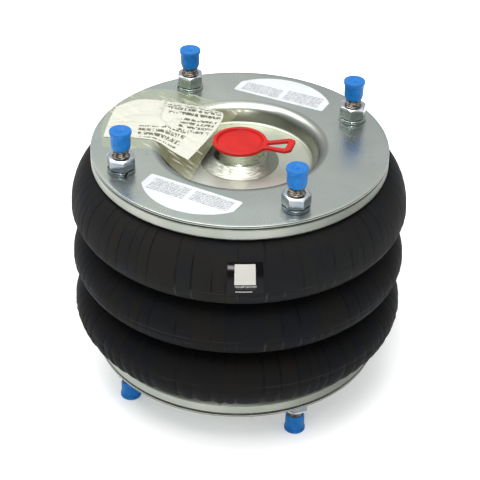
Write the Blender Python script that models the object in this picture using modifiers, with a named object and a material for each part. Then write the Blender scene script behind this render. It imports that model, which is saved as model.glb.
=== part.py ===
"""Air bellows actuator: one moulded rubber bellows of three folds, clamped between two steel ends.

Each end is a pressed plate with a round dish, a clamp ring that holds the rubber's bead against it,
and four studs with lock washers, nuts and push-on thread caps. The upper dish carries a welded air
port, closed by a pull-out plug, and two steel hoops girdle the rubber between its folds.

Units are metres and +Z is up. The floor under the lower thread caps is z = 0, on the bellows' axis.
Both ends are drawn once, with z = 0 on the plate's outer face and +Z pointing away from the rubber;
an empty at each plate carries its end, and the lower one is turned upside down.
"""

import math

import bmesh
import bpy
from mathutils import Vector

# Fits: the gap between pieces that touch, and the air round a stud in its holes
CLEARANCE = 0.0003
STUD_PLAY = 0.0003

# End plates: the rim, the flat land and the dish pressed into the middle
PLATE_RADIUS = 0.1145
PLATE_THICKNESS = 0.0030
PLATE_EDGE_ROUND = 0.0005
DISH_LAND = 0.0535
DISH_DRAFT = 0.0040
DISH_DEPTH = 0.0147
DISH_MOUTH_BEND = 0.0085
DISH_FLOOR_BEND = 0.0045

# Clamp rings: a tapered bore grips the bead, the outside is flush with the plate and its lip is bevelled
RING_WIDTH = 0.0262
RING_HEIGHT = 0.0104
RING_CHAMFER = 0.0008
RING_LIP_BEVEL = 0.0026

# Studs: low round heads sunk in the clamp ring; the lower end was clamped a few degrees round
STUD_COUNT = 4
STUD_INSET = 0.0172
STUD_RADIUS = 0.006
STUD_REACH = 0.0322
STUD_TIP_CHAMFER = 0.001
STUD_HEAD_RADIUS = 0.009
STUD_HEAD_HEIGHT = 0.003
STUD_PHASE = math.radians(45)
LOWER_END_TURN = math.radians(4)

# Lock washers and nuts
WASHER_WIDTH = 0.0042
WASHER_THICKNESS = 0.0025
WASHER_SPLIT = 0.0016
WASHER_SPLIT_LEAN = math.radians(28)
WASHER_SPLIT_AT = math.radians(88)
NUT_ACROSS_FLATS = 0.019
NUT_HEIGHT = 0.010
NUT_CHAMFER = math.radians(30)
NUT_FACE_SHARE = 0.95
NUT_TURNS = (math.radians(8), math.radians(22), math.radians(34), math.radians(47.5))

# Thread caps: flared at the closed end, drawn in at the open end, above a stretch of bare thread
CAP_RADIUS = 0.0077
CAP_FLARE = 0.0007
CAP_FLARE_HEIGHT = 0.0018
CAP_CROWN = 0.0019
THREAD_SHOWING = 0.0060
CAP_LIP_RADIUS = 0.0069
CAP_LIP_HEIGHT = 0.0028

# Air port: a bored boss standing in the dish on its weld, and the plug that closes it
BOSS_RADIUS = 0.01875
BOSS_BORE_RADIUS = 0.0121
BOSS_STANDOUT = 0.0002
BOSS_CHAMFER = 0.0012
BOSS_SPIGOT_RADIUS = 0.0160
BOSS_SPIGOT_REACH = 0.0010
WELD_SPREAD = 0.0115
WELD_HEIGHT = 0.0075
PLUG_RADIUS = 0.0210
PLUG_DISC_THICKNESS = 0.0016
PLUG_RIM_WIDTH = 0.0027
PLUG_RIM_HEIGHT = 0.0012
PLUG_SKIRT_LENGTH = 0.009
PLUG_SKIRT_WALL = 0.0014
PLUG_SKIRT_TAPER = 0.0004
PLUG_TURN = math.radians(4.5)
TAB_REACH = 0.0425
TAB_ROOT_HALF_WIDTH = 0.0050
TAB_END_HALF_WIDTH = 0.0103
TAB_BAR_WIDTH = 0.0052
TAB_ARM_WIDTH = 0.0036
TAB_THICKNESS = 0.0028
TAB_CORNER = 0.0028
TAB_WINDOW_CORNER = 0.0013
TAB_WINDOW_GAP = 0.0008
TAB_RISE = math.radians(8)

# Rubber bellows: its bead, its wall, and three folds measured between ring faces and hoops
BEAD_TAPER = 0.0035
BEAD_WIDTH = 0.012
RUBBER_WALL = 0.006
SHOULDER_INSET = 0.0065
BELLY_OVERHANG = 0.0165
BELLY_ROUNDNESS = 1.95
VALLEY_GAP = 0.0030
VALLEY_LIP = 0.0025
LOWER_FOLD_HEIGHT = 0.0486
MIDDLE_FOLD_HEIGHT = 0.0455
UPPER_FOLD_HEIGHT = 0.0551
LOWER_FOLD_SAG = -0.0020
MIDDLE_FOLD_SAG = 0.0010
UPPER_FOLD_SAG = 0.0066

# Girdle hoops: round steel wire, gripped by the rubber at the bottom of the valleys
HOOP_INSET = 0.0140
HOOP_WIRE_RADIUS = 0.0035
GROOVE_OPENING = math.radians(60)

# Facets: steps round the large turned pieces, the port, the small pieces and a hoop's wire
LARGE_STEPS = 36
PORT_STEPS = 24
SMALL_STEPS = 12
WIRE_STEPS = 6
GROOVE_STEPS = 3
BELLY_STEPS = 4
LINING_STEPS = 2
BEND_STEPS = 3

# Working distances: how far a cutter stands out past its hole, and which points and facets join
CUTTER_MARGIN = 0.004
WELD_DISTANCE = 0.00001
SMOOTH_ANGLE = math.radians(35)

# Radii and heights that follow from the sizes above
STUD_CIRCLE = PLATE_RADIUS - STUD_INSET
RING_BORE_TOP = PLATE_RADIUS - RING_WIDTH
RING_BORE_BOTTOM = RING_BORE_TOP - BEAD_TAPER
BEAD_TOP_RADIUS = RING_BORE_TOP - CLEARANCE
BEAD_NECK_RADIUS = RING_BORE_BOTTOM - CLEARANCE
BEAD_INNER_RADIUS = BEAD_TOP_RADIUS - BEAD_WIDTH
SHOULDER_RADIUS = PLATE_RADIUS - SHOULDER_INSET
BELLY_RADIUS = PLATE_RADIUS + BELLY_OVERHANG
HOOP_RADIUS = PLATE_RADIUS - HOOP_INSET
GROOVE_WRAP = math.tau - 2 * GROOVE_OPENING
GROOVE_RADIUS = (HOOP_WIRE_RADIUS + CLEARANCE) / math.cos(GROOVE_WRAP / GROOVE_STEPS / 2)
VALLEY_RADIUS = HOOP_RADIUS + GROOVE_RADIUS + VALLEY_LIP
DISH_MOUTH_RADIUS = PLATE_RADIUS - DISH_LAND
DISH_FLOOR_RADIUS = DISH_MOUTH_RADIUS - DISH_DRAFT
TAB_ROOT = PLUG_RADIUS - PLUG_RIM_WIDTH
RING_TOP = -PLATE_THICKNESS - CLEARANCE
RING_FACE = RING_TOP - RING_HEIGHT
WASHER_RADIUS = STUD_RADIUS + STUD_PLAY + WASHER_WIDTH
NUT_SEAT = CLEARANCE + WASHER_THICKNESS + CLEARANCE
NUT_TOP = NUT_SEAT + NUT_HEIGHT
CAP_OPEN_END = NUT_TOP + THREAD_SHOWING
CAP_TOP = STUD_REACH + CLEARANCE + CAP_CROWN
LOWER_FACE_Z = CAP_TOP
LOWER_HOOP_Z = LOWER_FACE_Z - RING_FACE + LOWER_FOLD_HEIGHT
UPPER_HOOP_Z = LOWER_HOOP_Z + MIDDLE_FOLD_HEIGHT
UPPER_FACE_Z = UPPER_HOOP_Z + UPPER_FOLD_HEIGHT - RING_FACE


def clear_scene():
    """Start from an empty file."""
    for thing in list(bpy.data.objects):
        bpy.data.objects.remove(thing, do_unlink=True)


def new_collection(name):
    collection = bpy.data.collections.new(name)
    bpy.context.scene.collection.children.link(collection)
    return collection


def new_finish(name, colour, roughness, metallic):
    """A plain material with the part's colour, roughness and metallic value."""
    finish = bpy.data.materials.new(name)
    finish.use_nodes = True
    shader = finish.node_tree.nodes["Principled BSDF"]
    shader.inputs["Base Color"].default_value = (*colour, 1.0)
    shader.inputs["Roughness"].default_value = roughness
    shader.inputs["Metallic"].default_value = metallic
    return finish


clear_scene()
PARTS = new_collection("air_bellows_actuator")
CUTTERS = new_collection("cutters")
ZINC_PLATE = new_finish("zinc_plated_sheet", (0.55, 0.57, 0.54), 0.34, 1.0)
ZINC_RING = new_finish("zinc_plated_ring", (0.62, 0.62, 0.58), 0.42, 1.0)
BRIGHT_ZINC = new_finish("bright_zinc_fasteners", (0.66, 0.68, 0.70), 0.22, 1.0)
BARE_THREAD = new_finish("stud_steel", (0.34, 0.31, 0.27), 0.38, 1.0)
MACHINED_STEEL = new_finish("machined_port_steel", (0.62, 0.62, 0.58), 0.26, 1.0)
BLACK_RUBBER = new_finish("black_rubber", (0.013, 0.014, 0.017), 0.55, 0.0)
HOOP_STEEL = new_finish("hoop_steel", (0.30, 0.30, 0.31), 0.45, 1.0)
BLUE_PLASTIC = new_finish("blue_cap_plastic", (0.006, 0.16, 0.62), 0.42, 0.0)
RED_PLASTIC = new_finish("red_plug_plastic", (0.72, 0.025, 0.020), 0.36, 0.0)


def add_object(name, mesh, collection=PARTS):
    thing = bpy.data.objects.new(name, mesh)
    collection.objects.link(thing)
    return thing


def add_empty(name, location, turn):
    empty = bpy.data.objects.new(name, None)
    empty.location = location
    empty.rotation_euler = turn
    PARTS.objects.link(empty)
    return empty


def place(part, parent, location=(0.0, 0.0, 0.0), turn=0.0):
    """Stand a part on its carrier, turned about its own axis."""
    part.parent = parent
    part.location = location
    part.rotation_euler = (0.0, 0.0, turn)


def arc(centre, radius, start, end, steps):
    """Points on a circle in the r, z plane from the start angle to the end angle."""
    angles = [start + (end - start) * i / steps for i in range(steps + 1)]
    return [(centre[0] + radius * math.cos(a), centre[1] + radius * math.sin(a)) for a in angles]


def rounded_corner(before, corner, after, radius):
    """The arc that replaces a corner of an outline, tangent to both of its sides."""
    corner = Vector(corner)
    towards = (Vector(before) - corner).normalized()
    onwards = (Vector(after) - corner).normalized()
    half_angle = towards.angle(onwards) / 2
    tangent_length = radius / math.tan(half_angle)
    centre = corner + (towards + onwards).normalized() * (radius / math.sin(half_angle))
    first = corner + towards * tangent_length - centre
    last = corner + onwards * tangent_length - centre
    start = math.atan2(first.y, first.x)
    sweep = math.remainder(math.atan2(last.y, last.x) - start, math.tau)
    return arc(centre, radius, start, start + sweep, BEND_STEPS)


def offset_path(path, distance):
    """The path moved sideways, to the left of its direction, by an even distance."""
    moved = []
    for i, point in enumerate(path):
        sides = []
        for start, end in ((i - 1, i), (i, i + 1)):
            if start >= 0 and end < len(path):
                along = (Vector(path[end]) - Vector(path[start])).normalized()
                sides.append(Vector((-along.y, along.x)))
        middle = (sides[0] + sides[-1]).normalized()
        moved.append(tuple(Vector(point) + middle * (distance / middle.dot(sides[0]))))
    return moved


def profile_mesh(name, profile, closed):
    """Edges in the XZ plane through the profile's points."""
    mesh = bpy.data.meshes.new(name)
    points = [(r, 0.0, z) for r, z in profile]
    edges = [(i, i + 1) for i in range(len(points) - 1)]
    if closed:
        edges.append((len(points) - 1, 0))
    mesh.from_pydata(points, edges, [])
    return mesh


def turned(name, profile, steps, closed=True, collection=PARTS):
    """A profile spun once round Z; its outer side runs from top to bottom."""
    thing = add_object(name, profile_mesh(name, profile, closed), collection)
    spin = thing.modifiers.new("spin", "SCREW")
    spin.axis = "Z"
    spin.angle = math.tau
    spin.steps = steps
    spin.render_steps = steps
    spin.use_merge_vertices = True
    spin.merge_threshold = WELD_DISTANCE
    spin.use_smooth_shade = False
    return thing


def prism(name, radius, low, high, sides, location=(0.0, 0.0), collection=PARTS):
    """An upright prism with its corners on the given radius."""
    mesh = bpy.data.meshes.new(name)
    shape = bmesh.new()
    bmesh.ops.create_cone(
        shape, cap_ends=True, segments=sides, radius1=radius, radius2=radius, depth=high - low
    )
    bmesh.ops.translate(shape, verts=shape.verts, vec=(*location, (low + high) / 2))
    shape.to_mesh(mesh)
    shape.free()
    return add_object(name, mesh, collection)


def hide_cutter(cutter):
    cutter.hide_render = True
    cutter.display_type = "WIRE"
    return cutter


def boolean(part, other, operation="DIFFERENCE"):
    """Cut, join or cross a part with another shape, which stays as a wire guide."""
    cut = part.modifiers.new(other.name, "BOOLEAN")
    cut.operation = operation
    cut.solver = "EXACT"
    cut.object = hide_cutter(other)


def round_hole(part, radius, low, high, location=(0.0, 0.0)):
    """Drill a hole whose flats, not its corners, keep the radius."""
    name = f"{part.name}_hole_{len(part.modifiers)}"
    corner_radius = radius / math.cos(math.pi / SMALL_STEPS)
    boolean(part, prism(name, corner_radius, low, high, SMALL_STEPS, location, CUTTERS))


def settle(part, finish):
    """Apply the modifiers, shade round faces smooth and give the part its finish."""
    evaluated = part.evaluated_get(bpy.context.evaluated_depsgraph_get())
    mesh = bpy.data.meshes.new_from_object(evaluated)
    part.modifiers.clear()
    part.data = mesh
    mesh.name = part.name
    mesh.shade_smooth()
    mesh.set_sharp_from_angle(angle=SMOOTH_ANGLE)
    mesh.materials.clear()
    mesh.materials.append(finish)
    return part


def stud_places(turn, direction):
    """The stud centres on an end's circle, and each one's angle, as seen from outside that end."""
    places = []
    for index in range(STUD_COUNT):
        angle = direction * (STUD_PHASE + turn + math.tau * index / STUD_COUNT)
        places.append((STUD_CIRCLE * math.cos(angle), STUD_CIRCLE * math.sin(angle), angle))
    return places


def make_end_plate(name, has_port, places):
    """Sheet steel with a dish: the outer skin is turned, then thickened towards the rubber."""
    floor = -DISH_DEPTH
    centre = BOSS_SPIGOT_RADIUS + CLEARANCE if has_port else 0.0
    rim = PLATE_RADIUS - PLATE_EDGE_ROUND
    corner_points = [
        (centre, floor),
        (DISH_FLOOR_RADIUS, floor),
        (DISH_MOUTH_RADIUS, 0.0),
        (rim, 0.0),
    ]
    skin = [corner_points[0]]
    skin += rounded_corner(*corner_points[0:3], DISH_FLOOR_BEND)
    skin += rounded_corner(*corner_points[1:4], DISH_MOUTH_BEND)
    edge = [(PLATE_RADIUS, -PLATE_EDGE_ROUND), (PLATE_RADIUS, PLATE_EDGE_ROUND - PLATE_THICKNESS)]
    underside = offset_path(skin + [corner_points[3]], -PLATE_THICKNESS)
    profile = skin + [corner_points[3]] + edge + underside[::-1]
    plate = turned(name, profile, LARGE_STEPS, closed=has_port)
    below = -PLATE_THICKNESS - CUTTER_MARGIN
    for x, y, _ in places:
        round_hole(plate, STUD_RADIUS + STUD_PLAY, below, CUTTER_MARGIN, (x, y))
    return settle(plate, ZINC_PLATE)


def make_clamp_ring(name, places):
    """A steel ring with a tapered bore for the bead, drilled and counterbored for the studs."""
    profile = [
        (RING_BORE_TOP, RING_TOP),
        (PLATE_RADIUS - RING_CHAMFER, RING_TOP),
        (PLATE_RADIUS, RING_TOP - RING_CHAMFER),
        (PLATE_RADIUS, RING_FACE + RING_LIP_BEVEL),
        (PLATE_RADIUS - RING_LIP_BEVEL, RING_FACE),
        (RING_BORE_BOTTOM, RING_FACE),
    ]
    ring = turned(name, profile, LARGE_STEPS)
    head_seat = RING_FACE + CLEARANCE + STUD_HEAD_HEIGHT + CLEARANCE
    below = RING_FACE - CUTTER_MARGIN
    above = RING_TOP + CUTTER_MARGIN
    for x, y, _ in places:
        round_hole(ring, STUD_RADIUS + STUD_PLAY, below, above, (x, y))
        round_hole(ring, STUD_HEAD_RADIUS + STUD_PLAY, below, head_seat, (x, y))
    return settle(ring, ZINC_RING)


def make_stud(name):
    """A clamp stud: a low head in the ring, a plain shank and a chamfered tip."""
    head_bottom = RING_FACE + CLEARANCE
    head_top = head_bottom + STUD_HEAD_HEIGHT
    profile = [
        (0.0, STUD_REACH),
        (STUD_RADIUS - STUD_TIP_CHAMFER, STUD_REACH),
        (STUD_RADIUS, STUD_REACH - STUD_TIP_CHAMFER),
        (STUD_RADIUS, head_top),
        (STUD_HEAD_RADIUS, head_top),
        (STUD_HEAD_RADIUS, head_bottom),
        (0.0, head_bottom),
    ]
    return settle(turned(name, profile, SMALL_STEPS, closed=False), BARE_THREAD)


def make_lock_washer(name):
    """A spring washer pressed flat, with its slanting split."""
    inner = (STUD_RADIUS + STUD_PLAY) / math.cos(math.pi / SMALL_STEPS)
    top = CLEARANCE + WASHER_THICKNESS
    profile = [(inner, top), (WASHER_RADIUS, top), (WASHER_RADIUS, CLEARANCE), (inner, CLEARANCE)]
    washer = turned(name, profile, SMALL_STEPS)
    split = bpy.data.meshes.new(f"{name}_split")
    shape = bmesh.new()
    bmesh.ops.create_cube(shape, size=1.0)
    bmesh.ops.scale(shape, verts=shape.verts, vec=(2 * WASHER_RADIUS, WASHER_SPLIT, 4 * WASHER_THICKNESS))
    bmesh.ops.translate(shape, verts=shape.verts, vec=(WASHER_RADIUS, 0.0, 0.0))
    shape.to_mesh(split)
    shape.free()
    cutter = add_object(f"{name}_split", split, CUTTERS)
    cutter.location.z = CLEARANCE + WASHER_THICKNESS / 2
    cutter.rotation_euler = (WASHER_SPLIT_LEAN, 0.0, 0.0)
    boolean(washer, cutter)
    return settle(washer, BRIGHT_ZINC)


def make_nut(name):
    """A hexagon crossed with a turned blank, which leaves the chamfers, then bored."""
    corner_radius = NUT_ACROSS_FLATS / 2 / math.cos(math.pi / 6)
    blank_radius = corner_radius + CLEARANCE
    face_radius = NUT_ACROSS_FLATS / 2 * NUT_FACE_SHARE
    fall = (blank_radius - face_radius) * math.tan(NUT_CHAMFER)
    blank = [
        (0.0, NUT_TOP),
        (face_radius, NUT_TOP),
        (blank_radius, NUT_TOP - fall),
        (blank_radius, NUT_SEAT + fall),
        (face_radius, NUT_SEAT),
        (0.0, NUT_SEAT),
    ]
    nut = prism(name, corner_radius, NUT_SEAT - CLEARANCE, NUT_TOP + CLEARANCE, 6)
    turned_blank = turned(f"{name}_blank", blank, SMALL_STEPS, closed=False, collection=CUTTERS)
    turned_blank.rotation_euler.z = math.pi / SMALL_STEPS
    boolean(nut, turned_blank, "INTERSECT")
    round_hole(nut, STUD_RADIUS + STUD_PLAY, NUT_SEAT - CUTTER_MARGIN, NUT_TOP + CUTTER_MARGIN)
    return settle(nut, BRIGHT_ZINC)


def make_thread_cap(name):
    """A push-on cap: flared crown, tapering skirt and drawn-in lip."""
    bore = (STUD_RADIUS + CLEARANCE) / math.cos(math.pi / SMALL_STEPS)
    crown_radius = CAP_RADIUS + CAP_FLARE
    profile = [
        (0.0, CAP_TOP),
        (crown_radius - CAP_FLARE / 2, CAP_TOP),
        (crown_radius, CAP_TOP - CAP_FLARE / 2),
        (crown_radius, CAP_TOP - CAP_FLARE_HEIGHT),
        (CAP_RADIUS, CAP_TOP - CAP_FLARE_HEIGHT - CAP_FLARE),
        (CAP_RADIUS, CAP_OPEN_END + CAP_LIP_HEIGHT),
        (CAP_LIP_RADIUS, CAP_OPEN_END),
        (bore, CAP_OPEN_END),
        (bore, CAP_TOP - CAP_CROWN),
        (0.0, CAP_TOP - CAP_CROWN),
    ]
    return settle(turned(name, profile, SMALL_STEPS, closed=False), BLUE_PLASTIC)


def make_port_boss(name):
    """The welded air port: a bored boss, its weld flare and the spigot through the plate."""
    floor = CLEARANCE - DISH_DEPTH
    foot = floor - CLEARANCE - PLATE_THICKNESS - BOSS_SPIGOT_REACH
    weld_foot_radius = BOSS_RADIUS + WELD_SPREAD
    flare = []
    for step in range(1, BEND_STEPS + 1):
        angle = math.pi / 2 * step / BEND_STEPS
        r = weld_foot_radius - WELD_SPREAD * math.cos(angle)
        flare.append((r, floor + WELD_HEIGHT * (1.0 - math.sin(angle))))
    toe = flare.pop()
    profile = [
        (BOSS_BORE_RADIUS, BOSS_STANDOUT - BOSS_CHAMFER),
        (BOSS_BORE_RADIUS + BOSS_CHAMFER, BOSS_STANDOUT),
        (BOSS_RADIUS - BOSS_CHAMFER / 2, BOSS_STANDOUT),
        (BOSS_RADIUS, BOSS_STANDOUT - BOSS_CHAMFER / 2),
        (BOSS_RADIUS, floor + WELD_HEIGHT),
        *flare,
        (toe[0], floor + CLEARANCE),
        (toe[0], floor),
        (BOSS_SPIGOT_RADIUS, floor),
        (BOSS_SPIGOT_RADIUS, foot),
        (BOSS_BORE_RADIUS, foot),
    ]
    return settle(turned(name, profile, PORT_STEPS), MACHINED_STEEL)


def tab_outline(inner):
    """The pull tab's stirrup in its own plane, or the window inside it."""
    root, end, arm, corner_radius = TAB_ROOT, TAB_REACH, 0.0, TAB_CORNER
    if inner:
        root, end = PLUG_RADIUS + TAB_WINDOW_GAP, TAB_REACH - TAB_BAR_WIDTH
        arm, corner_radius = TAB_ARM_WIDTH, TAB_WINDOW_CORNER
    spread = (TAB_END_HALF_WIDTH - TAB_ROOT_HALF_WIDTH) / (TAB_REACH - TAB_ROOT)
    root_half = TAB_ROOT_HALF_WIDTH + spread * (root - TAB_ROOT) - arm
    end_half = TAB_ROOT_HALF_WIDTH + spread * (end - TAB_ROOT) - arm
    corners = [(root, -root_half), (end, -end_half), (end, end_half), (root, root_half)]
    outline = [corners[0]]
    outline += rounded_corner(corners[0], corners[1], corners[2], corner_radius)
    outline += rounded_corner(corners[1], corners[2], corners[3], corner_radius)
    return outline + [corners[3]]


def make_tab(name, disc_bottom):
    """The pull tab as a flat outline with a window, rising away from the disc."""
    curve = bpy.data.curves.new(name, "CURVE")
    curve.dimensions = "2D"
    curve.fill_mode = "BOTH"
    curve.extrude = TAB_THICKNESS / 2
    for inner in (False, True):
        outline = tab_outline(inner)
        spline = curve.splines.new("POLY")
        spline.points.add(len(outline) - 1)
        for point, (x, y) in zip(spline.points, outline):
            point.co = (x - PLUG_RADIUS, y, 0.0, 1.0)
        spline.use_cyclic_u = True
    drawn = add_object(f"{name}_drawn", curve, CUTTERS)
    evaluated = drawn.evaluated_get(bpy.context.evaluated_depsgraph_get())
    mesh = bpy.data.meshes.new_from_object(evaluated)
    shape = bmesh.new()
    shape.from_mesh(mesh)
    bmesh.ops.remove_doubles(shape, verts=shape.verts, dist=WELD_DISTANCE)
    shape.to_mesh(mesh)
    shape.free()
    bpy.data.objects.remove(drawn, do_unlink=True)
    tab = add_object(name, mesh, CUTTERS)
    tab.location = (PLUG_RADIUS, 0.0, disc_bottom + TAB_THICKNESS / 2 + PLUG_RIM_HEIGHT / 4)
    tab.rotation_euler = (0.0, -TAB_RISE, 0.0)
    return tab


def make_port_plug(name):
    """The pull-out plug: rimmed disc, hollow skirt for the bore, and stirrup tab."""
    disc_bottom = BOSS_STANDOUT + CLEARANCE
    face = disc_bottom + PLUG_DISC_THICKNESS
    rim_top = face + PLUG_RIM_HEIGHT
    skirt_end = disc_bottom - PLUG_SKIRT_LENGTH
    skirt_radius = BOSS_BORE_RADIUS * math.cos(math.pi / PORT_STEPS) - CLEARANCE
    skirt_inner = skirt_radius - PLUG_SKIRT_WALL
    profile = [
        (0.0, face),
        (PLUG_RADIUS - PLUG_RIM_WIDTH, face),
        (PLUG_RADIUS - PLUG_RIM_WIDTH + PLUG_RIM_HEIGHT / 2, rim_top),
        (PLUG_RADIUS - PLUG_RIM_HEIGHT / 3, rim_top),
        (PLUG_RADIUS, rim_top - PLUG_RIM_HEIGHT / 2),
        (PLUG_RADIUS, disc_bottom),
        (skirt_radius, disc_bottom),
        (skirt_radius - PLUG_SKIRT_TAPER, skirt_end),
        (skirt_inner - PLUG_SKIRT_TAPER, skirt_end),
        (skirt_inner, disc_bottom),
        (0.0, disc_bottom),
    ]
    plug = turned(name, profile, PORT_STEPS, closed=False)
    boolean(plug, make_tab(f"{name}_tab", disc_bottom), "UNION")
    return settle(plug, RED_PLASTIC)


def belly(top, bottom, sag, crest, steps):
    """A fold's line from its top point to its bottom one, fullest where it sags below the middle."""
    widest = (top[1] + bottom[1]) / 2 - sag
    power = 2.0 / BELLY_ROUNDNESS
    shares = []
    for step in range(steps + 1):
        angle = math.pi / 2 * step / steps
        shares.append((math.sin(angle) ** power, max(math.cos(angle), 0.0) ** power))
    line = [(top[0] + (crest - top[0]) * out, widest + (top[1] - widest) * up) for out, up in shares]
    for out, down in shares[-2::-1]:
        line.append((bottom[0] + (crest - bottom[0]) * out, widest + (bottom[1] - widest) * down))
    return line


def valley(hoop_z, radius, opening, steps):
    """An arc round a hoop's inner side, from above it to below it."""
    return arc((HOOP_RADIUS, hoop_z), radius, opening, math.tau - opening, steps)


def make_bellows(name):
    """The rubber: beads, shoulders under the rings, three bellies and the valleys between them."""
    upper_seat = UPPER_FACE_Z + RING_TOP
    lower_seat = LOWER_FACE_Z - RING_TOP
    upper_shoulder = UPPER_FACE_Z + RING_FACE - CLEARANCE
    lower_shoulder = LOWER_FACE_Z - RING_FACE + CLEARANCE
    stops = [(SHOULDER_RADIUS, upper_shoulder)]
    lining_stops = [(SHOULDER_RADIUS, upper_shoulder - RUBBER_WALL)]
    lining_radius = GROOVE_RADIUS + RUBBER_WALL
    for hoop_z in (UPPER_HOOP_Z, LOWER_HOOP_Z):
        for side in (1, -1):
            stops.append((VALLEY_RADIUS, hoop_z + side * VALLEY_GAP / 2))
            lining_stops.append((HOOP_RADIUS, hoop_z + side * lining_radius))
    stops.append((SHOULDER_RADIUS, lower_shoulder))
    lining_stops.append((SHOULDER_RADIUS, lower_shoulder + RUBBER_WALL))

    outside = [(BEAD_TOP_RADIUS, upper_seat), (BEAD_NECK_RADIUS, upper_shoulder)]
    lining = [(BEAD_INNER_RADIUS, upper_seat), (BEAD_INNER_RADIUS, upper_shoulder - RUBBER_WALL)]
    sags = (UPPER_FOLD_SAG, MIDDLE_FOLD_SAG, LOWER_FOLD_SAG)
    hoops = (UPPER_HOOP_Z, LOWER_HOOP_Z, None)
    for fold, (sag, hoop_z) in enumerate(zip(sags, hoops)):
        top, bottom = stops[2 * fold : 2 * fold + 2]
        outside += belly(top, bottom, sag, BELLY_RADIUS, BELLY_STEPS)
        top, bottom = lining_stops[2 * fold : 2 * fold + 2]
        lining += belly(top, bottom, sag, BELLY_RADIUS - RUBBER_WALL, LINING_STEPS)
        if hoop_z is not None:
            outside += valley(hoop_z, GROOVE_RADIUS, GROOVE_OPENING, GROOVE_STEPS)
            lining += valley(hoop_z, lining_radius, math.pi / 2, LINING_STEPS)[1:-1]
    outside += [(BEAD_NECK_RADIUS, lower_shoulder), (BEAD_TOP_RADIUS, lower_seat)]
    lining += [(BEAD_INNER_RADIUS, lower_shoulder + RUBBER_WALL), (BEAD_INNER_RADIUS, lower_seat)]
    return settle(turned(name, outside + lining[::-1], LARGE_STEPS), BLACK_RUBBER)


def make_hoop(name):
    """A ring of round wire."""
    profile = arc((HOOP_RADIUS, 0.0), HOOP_WIRE_RADIUS, math.pi / 2, -1.5 * math.pi, WIRE_STEPS)[:-1]
    return settle(turned(name, profile, LARGE_STEPS), HOOP_STEEL)


def make_end(side, carrier, has_port, places):
    """One steel end with its fasteners, all standing on the end's empty."""
    place(make_end_plate(f"{side}_end_plate", has_port, places), carrier)
    place(make_clamp_ring(f"{side}_clamp_ring", places), carrier)
    for index, (x, y, angle) in enumerate(places):
        number = index + 1
        spot = (x, y, 0.0)
        place(make_stud(f"{side}_stud_{number}"), carrier, spot)
        place(make_lock_washer(f"{side}_lock_washer_{number}"), carrier, spot, angle + WASHER_SPLIT_AT)
        place(make_nut(f"{side}_nut_{number}"), carrier, spot, NUT_TURNS[index % len(NUT_TURNS)])
        place(make_thread_cap(f"{side}_thread_cap_{number}"), carrier, spot)


def build():
    upper = add_empty("upper_end_axis", (0.0, 0.0, UPPER_FACE_Z), (0.0, 0.0, 0.0))
    lower = add_empty("lower_end_axis", (0.0, 0.0, LOWER_FACE_Z), (math.pi, 0.0, 0.0))
    make_end("upper", upper, True, stud_places(0.0, 1))
    make_end("lower", lower, False, stud_places(LOWER_END_TURN, -1))
    place(make_port_boss("port_boss"), upper)
    place(make_port_plug("port_plug"), upper, turn=PLUG_TURN)
    make_bellows("rubber_bellows")
    make_hoop("upper_girdle_hoop").location.z = UPPER_HOOP_Z
    make_hoop("lower_girdle_hoop").location.z = LOWER_HOOP_Z


build()
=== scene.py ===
# %% [markdown]
# # Dressing an air bellows actuator
#
# The real object is a rubber bellows of three folds between two zinc-plated steel ends. It raises
# or damps a load when air goes in through the port in the middle of its upper plate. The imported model
# already has every piece at its real size. This lesson gives each one its fine shape and its finish,
# and sets up the camera and the light of a studio picture.

# %% Load the frame
import math

import bmesh
import bpy
from mathutils import Matrix, Vector, noise


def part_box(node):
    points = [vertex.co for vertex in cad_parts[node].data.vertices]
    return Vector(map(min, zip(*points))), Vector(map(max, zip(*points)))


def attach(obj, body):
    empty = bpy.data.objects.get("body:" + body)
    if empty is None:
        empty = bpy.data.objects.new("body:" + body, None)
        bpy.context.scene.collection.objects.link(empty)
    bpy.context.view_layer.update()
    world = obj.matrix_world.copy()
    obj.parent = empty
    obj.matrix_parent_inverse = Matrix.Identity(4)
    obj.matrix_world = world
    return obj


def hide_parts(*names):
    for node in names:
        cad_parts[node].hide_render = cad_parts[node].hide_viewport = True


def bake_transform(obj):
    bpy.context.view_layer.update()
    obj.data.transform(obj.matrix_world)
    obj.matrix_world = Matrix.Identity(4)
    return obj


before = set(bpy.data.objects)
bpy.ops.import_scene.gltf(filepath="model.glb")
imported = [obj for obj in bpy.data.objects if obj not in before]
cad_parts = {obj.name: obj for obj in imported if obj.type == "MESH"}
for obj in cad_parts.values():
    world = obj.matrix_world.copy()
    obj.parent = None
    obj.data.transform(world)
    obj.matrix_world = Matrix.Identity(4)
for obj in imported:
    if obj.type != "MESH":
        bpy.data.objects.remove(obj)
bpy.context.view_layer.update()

# %% [markdown]
# ## The camera
#
# The picture was taken from above and from one side, with a long lens. A long lens far away keeps
# circles nearly the same shape from front to back, which is how products are photographed. The numbers
# below come from fitting the rim, the stud tops and the folds' outline.

# %% Camera
PICTURE_SIDE = 480
FOCAL_LENGTH_IN_PIXELS = 1634.0
PICTURE_CENTRE = (238.4, 231.5)
SENSOR_WIDTH = 36.0
AIM = Vector((0.0, 0.0, 0.1297))
EYE_DISTANCE = 1.2991
EYE_TURN = math.radians(-70.1)
EYE_HEIGHT = math.radians(33.99)
EYE_ROLL = 0.018


def camera_matrix():
    """The camera's place and axes: it looks along its own -Z with +Y up."""
    level = math.cos(EYE_HEIGHT)
    back = Vector((math.cos(EYE_TURN) * level, math.sin(EYE_TURN) * level, math.sin(EYE_HEIGHT)))
    right = Vector((0.0, 0.0, 1.0)).cross(back).normalized()
    turn = Matrix.Rotation(EYE_ROLL, 3, back)
    right = turn @ right
    axes = Matrix((right, back.cross(right), back)).transposed()
    return Matrix.Translation(AIM + back * EYE_DISTANCE) @ axes.to_4x4()


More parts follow.
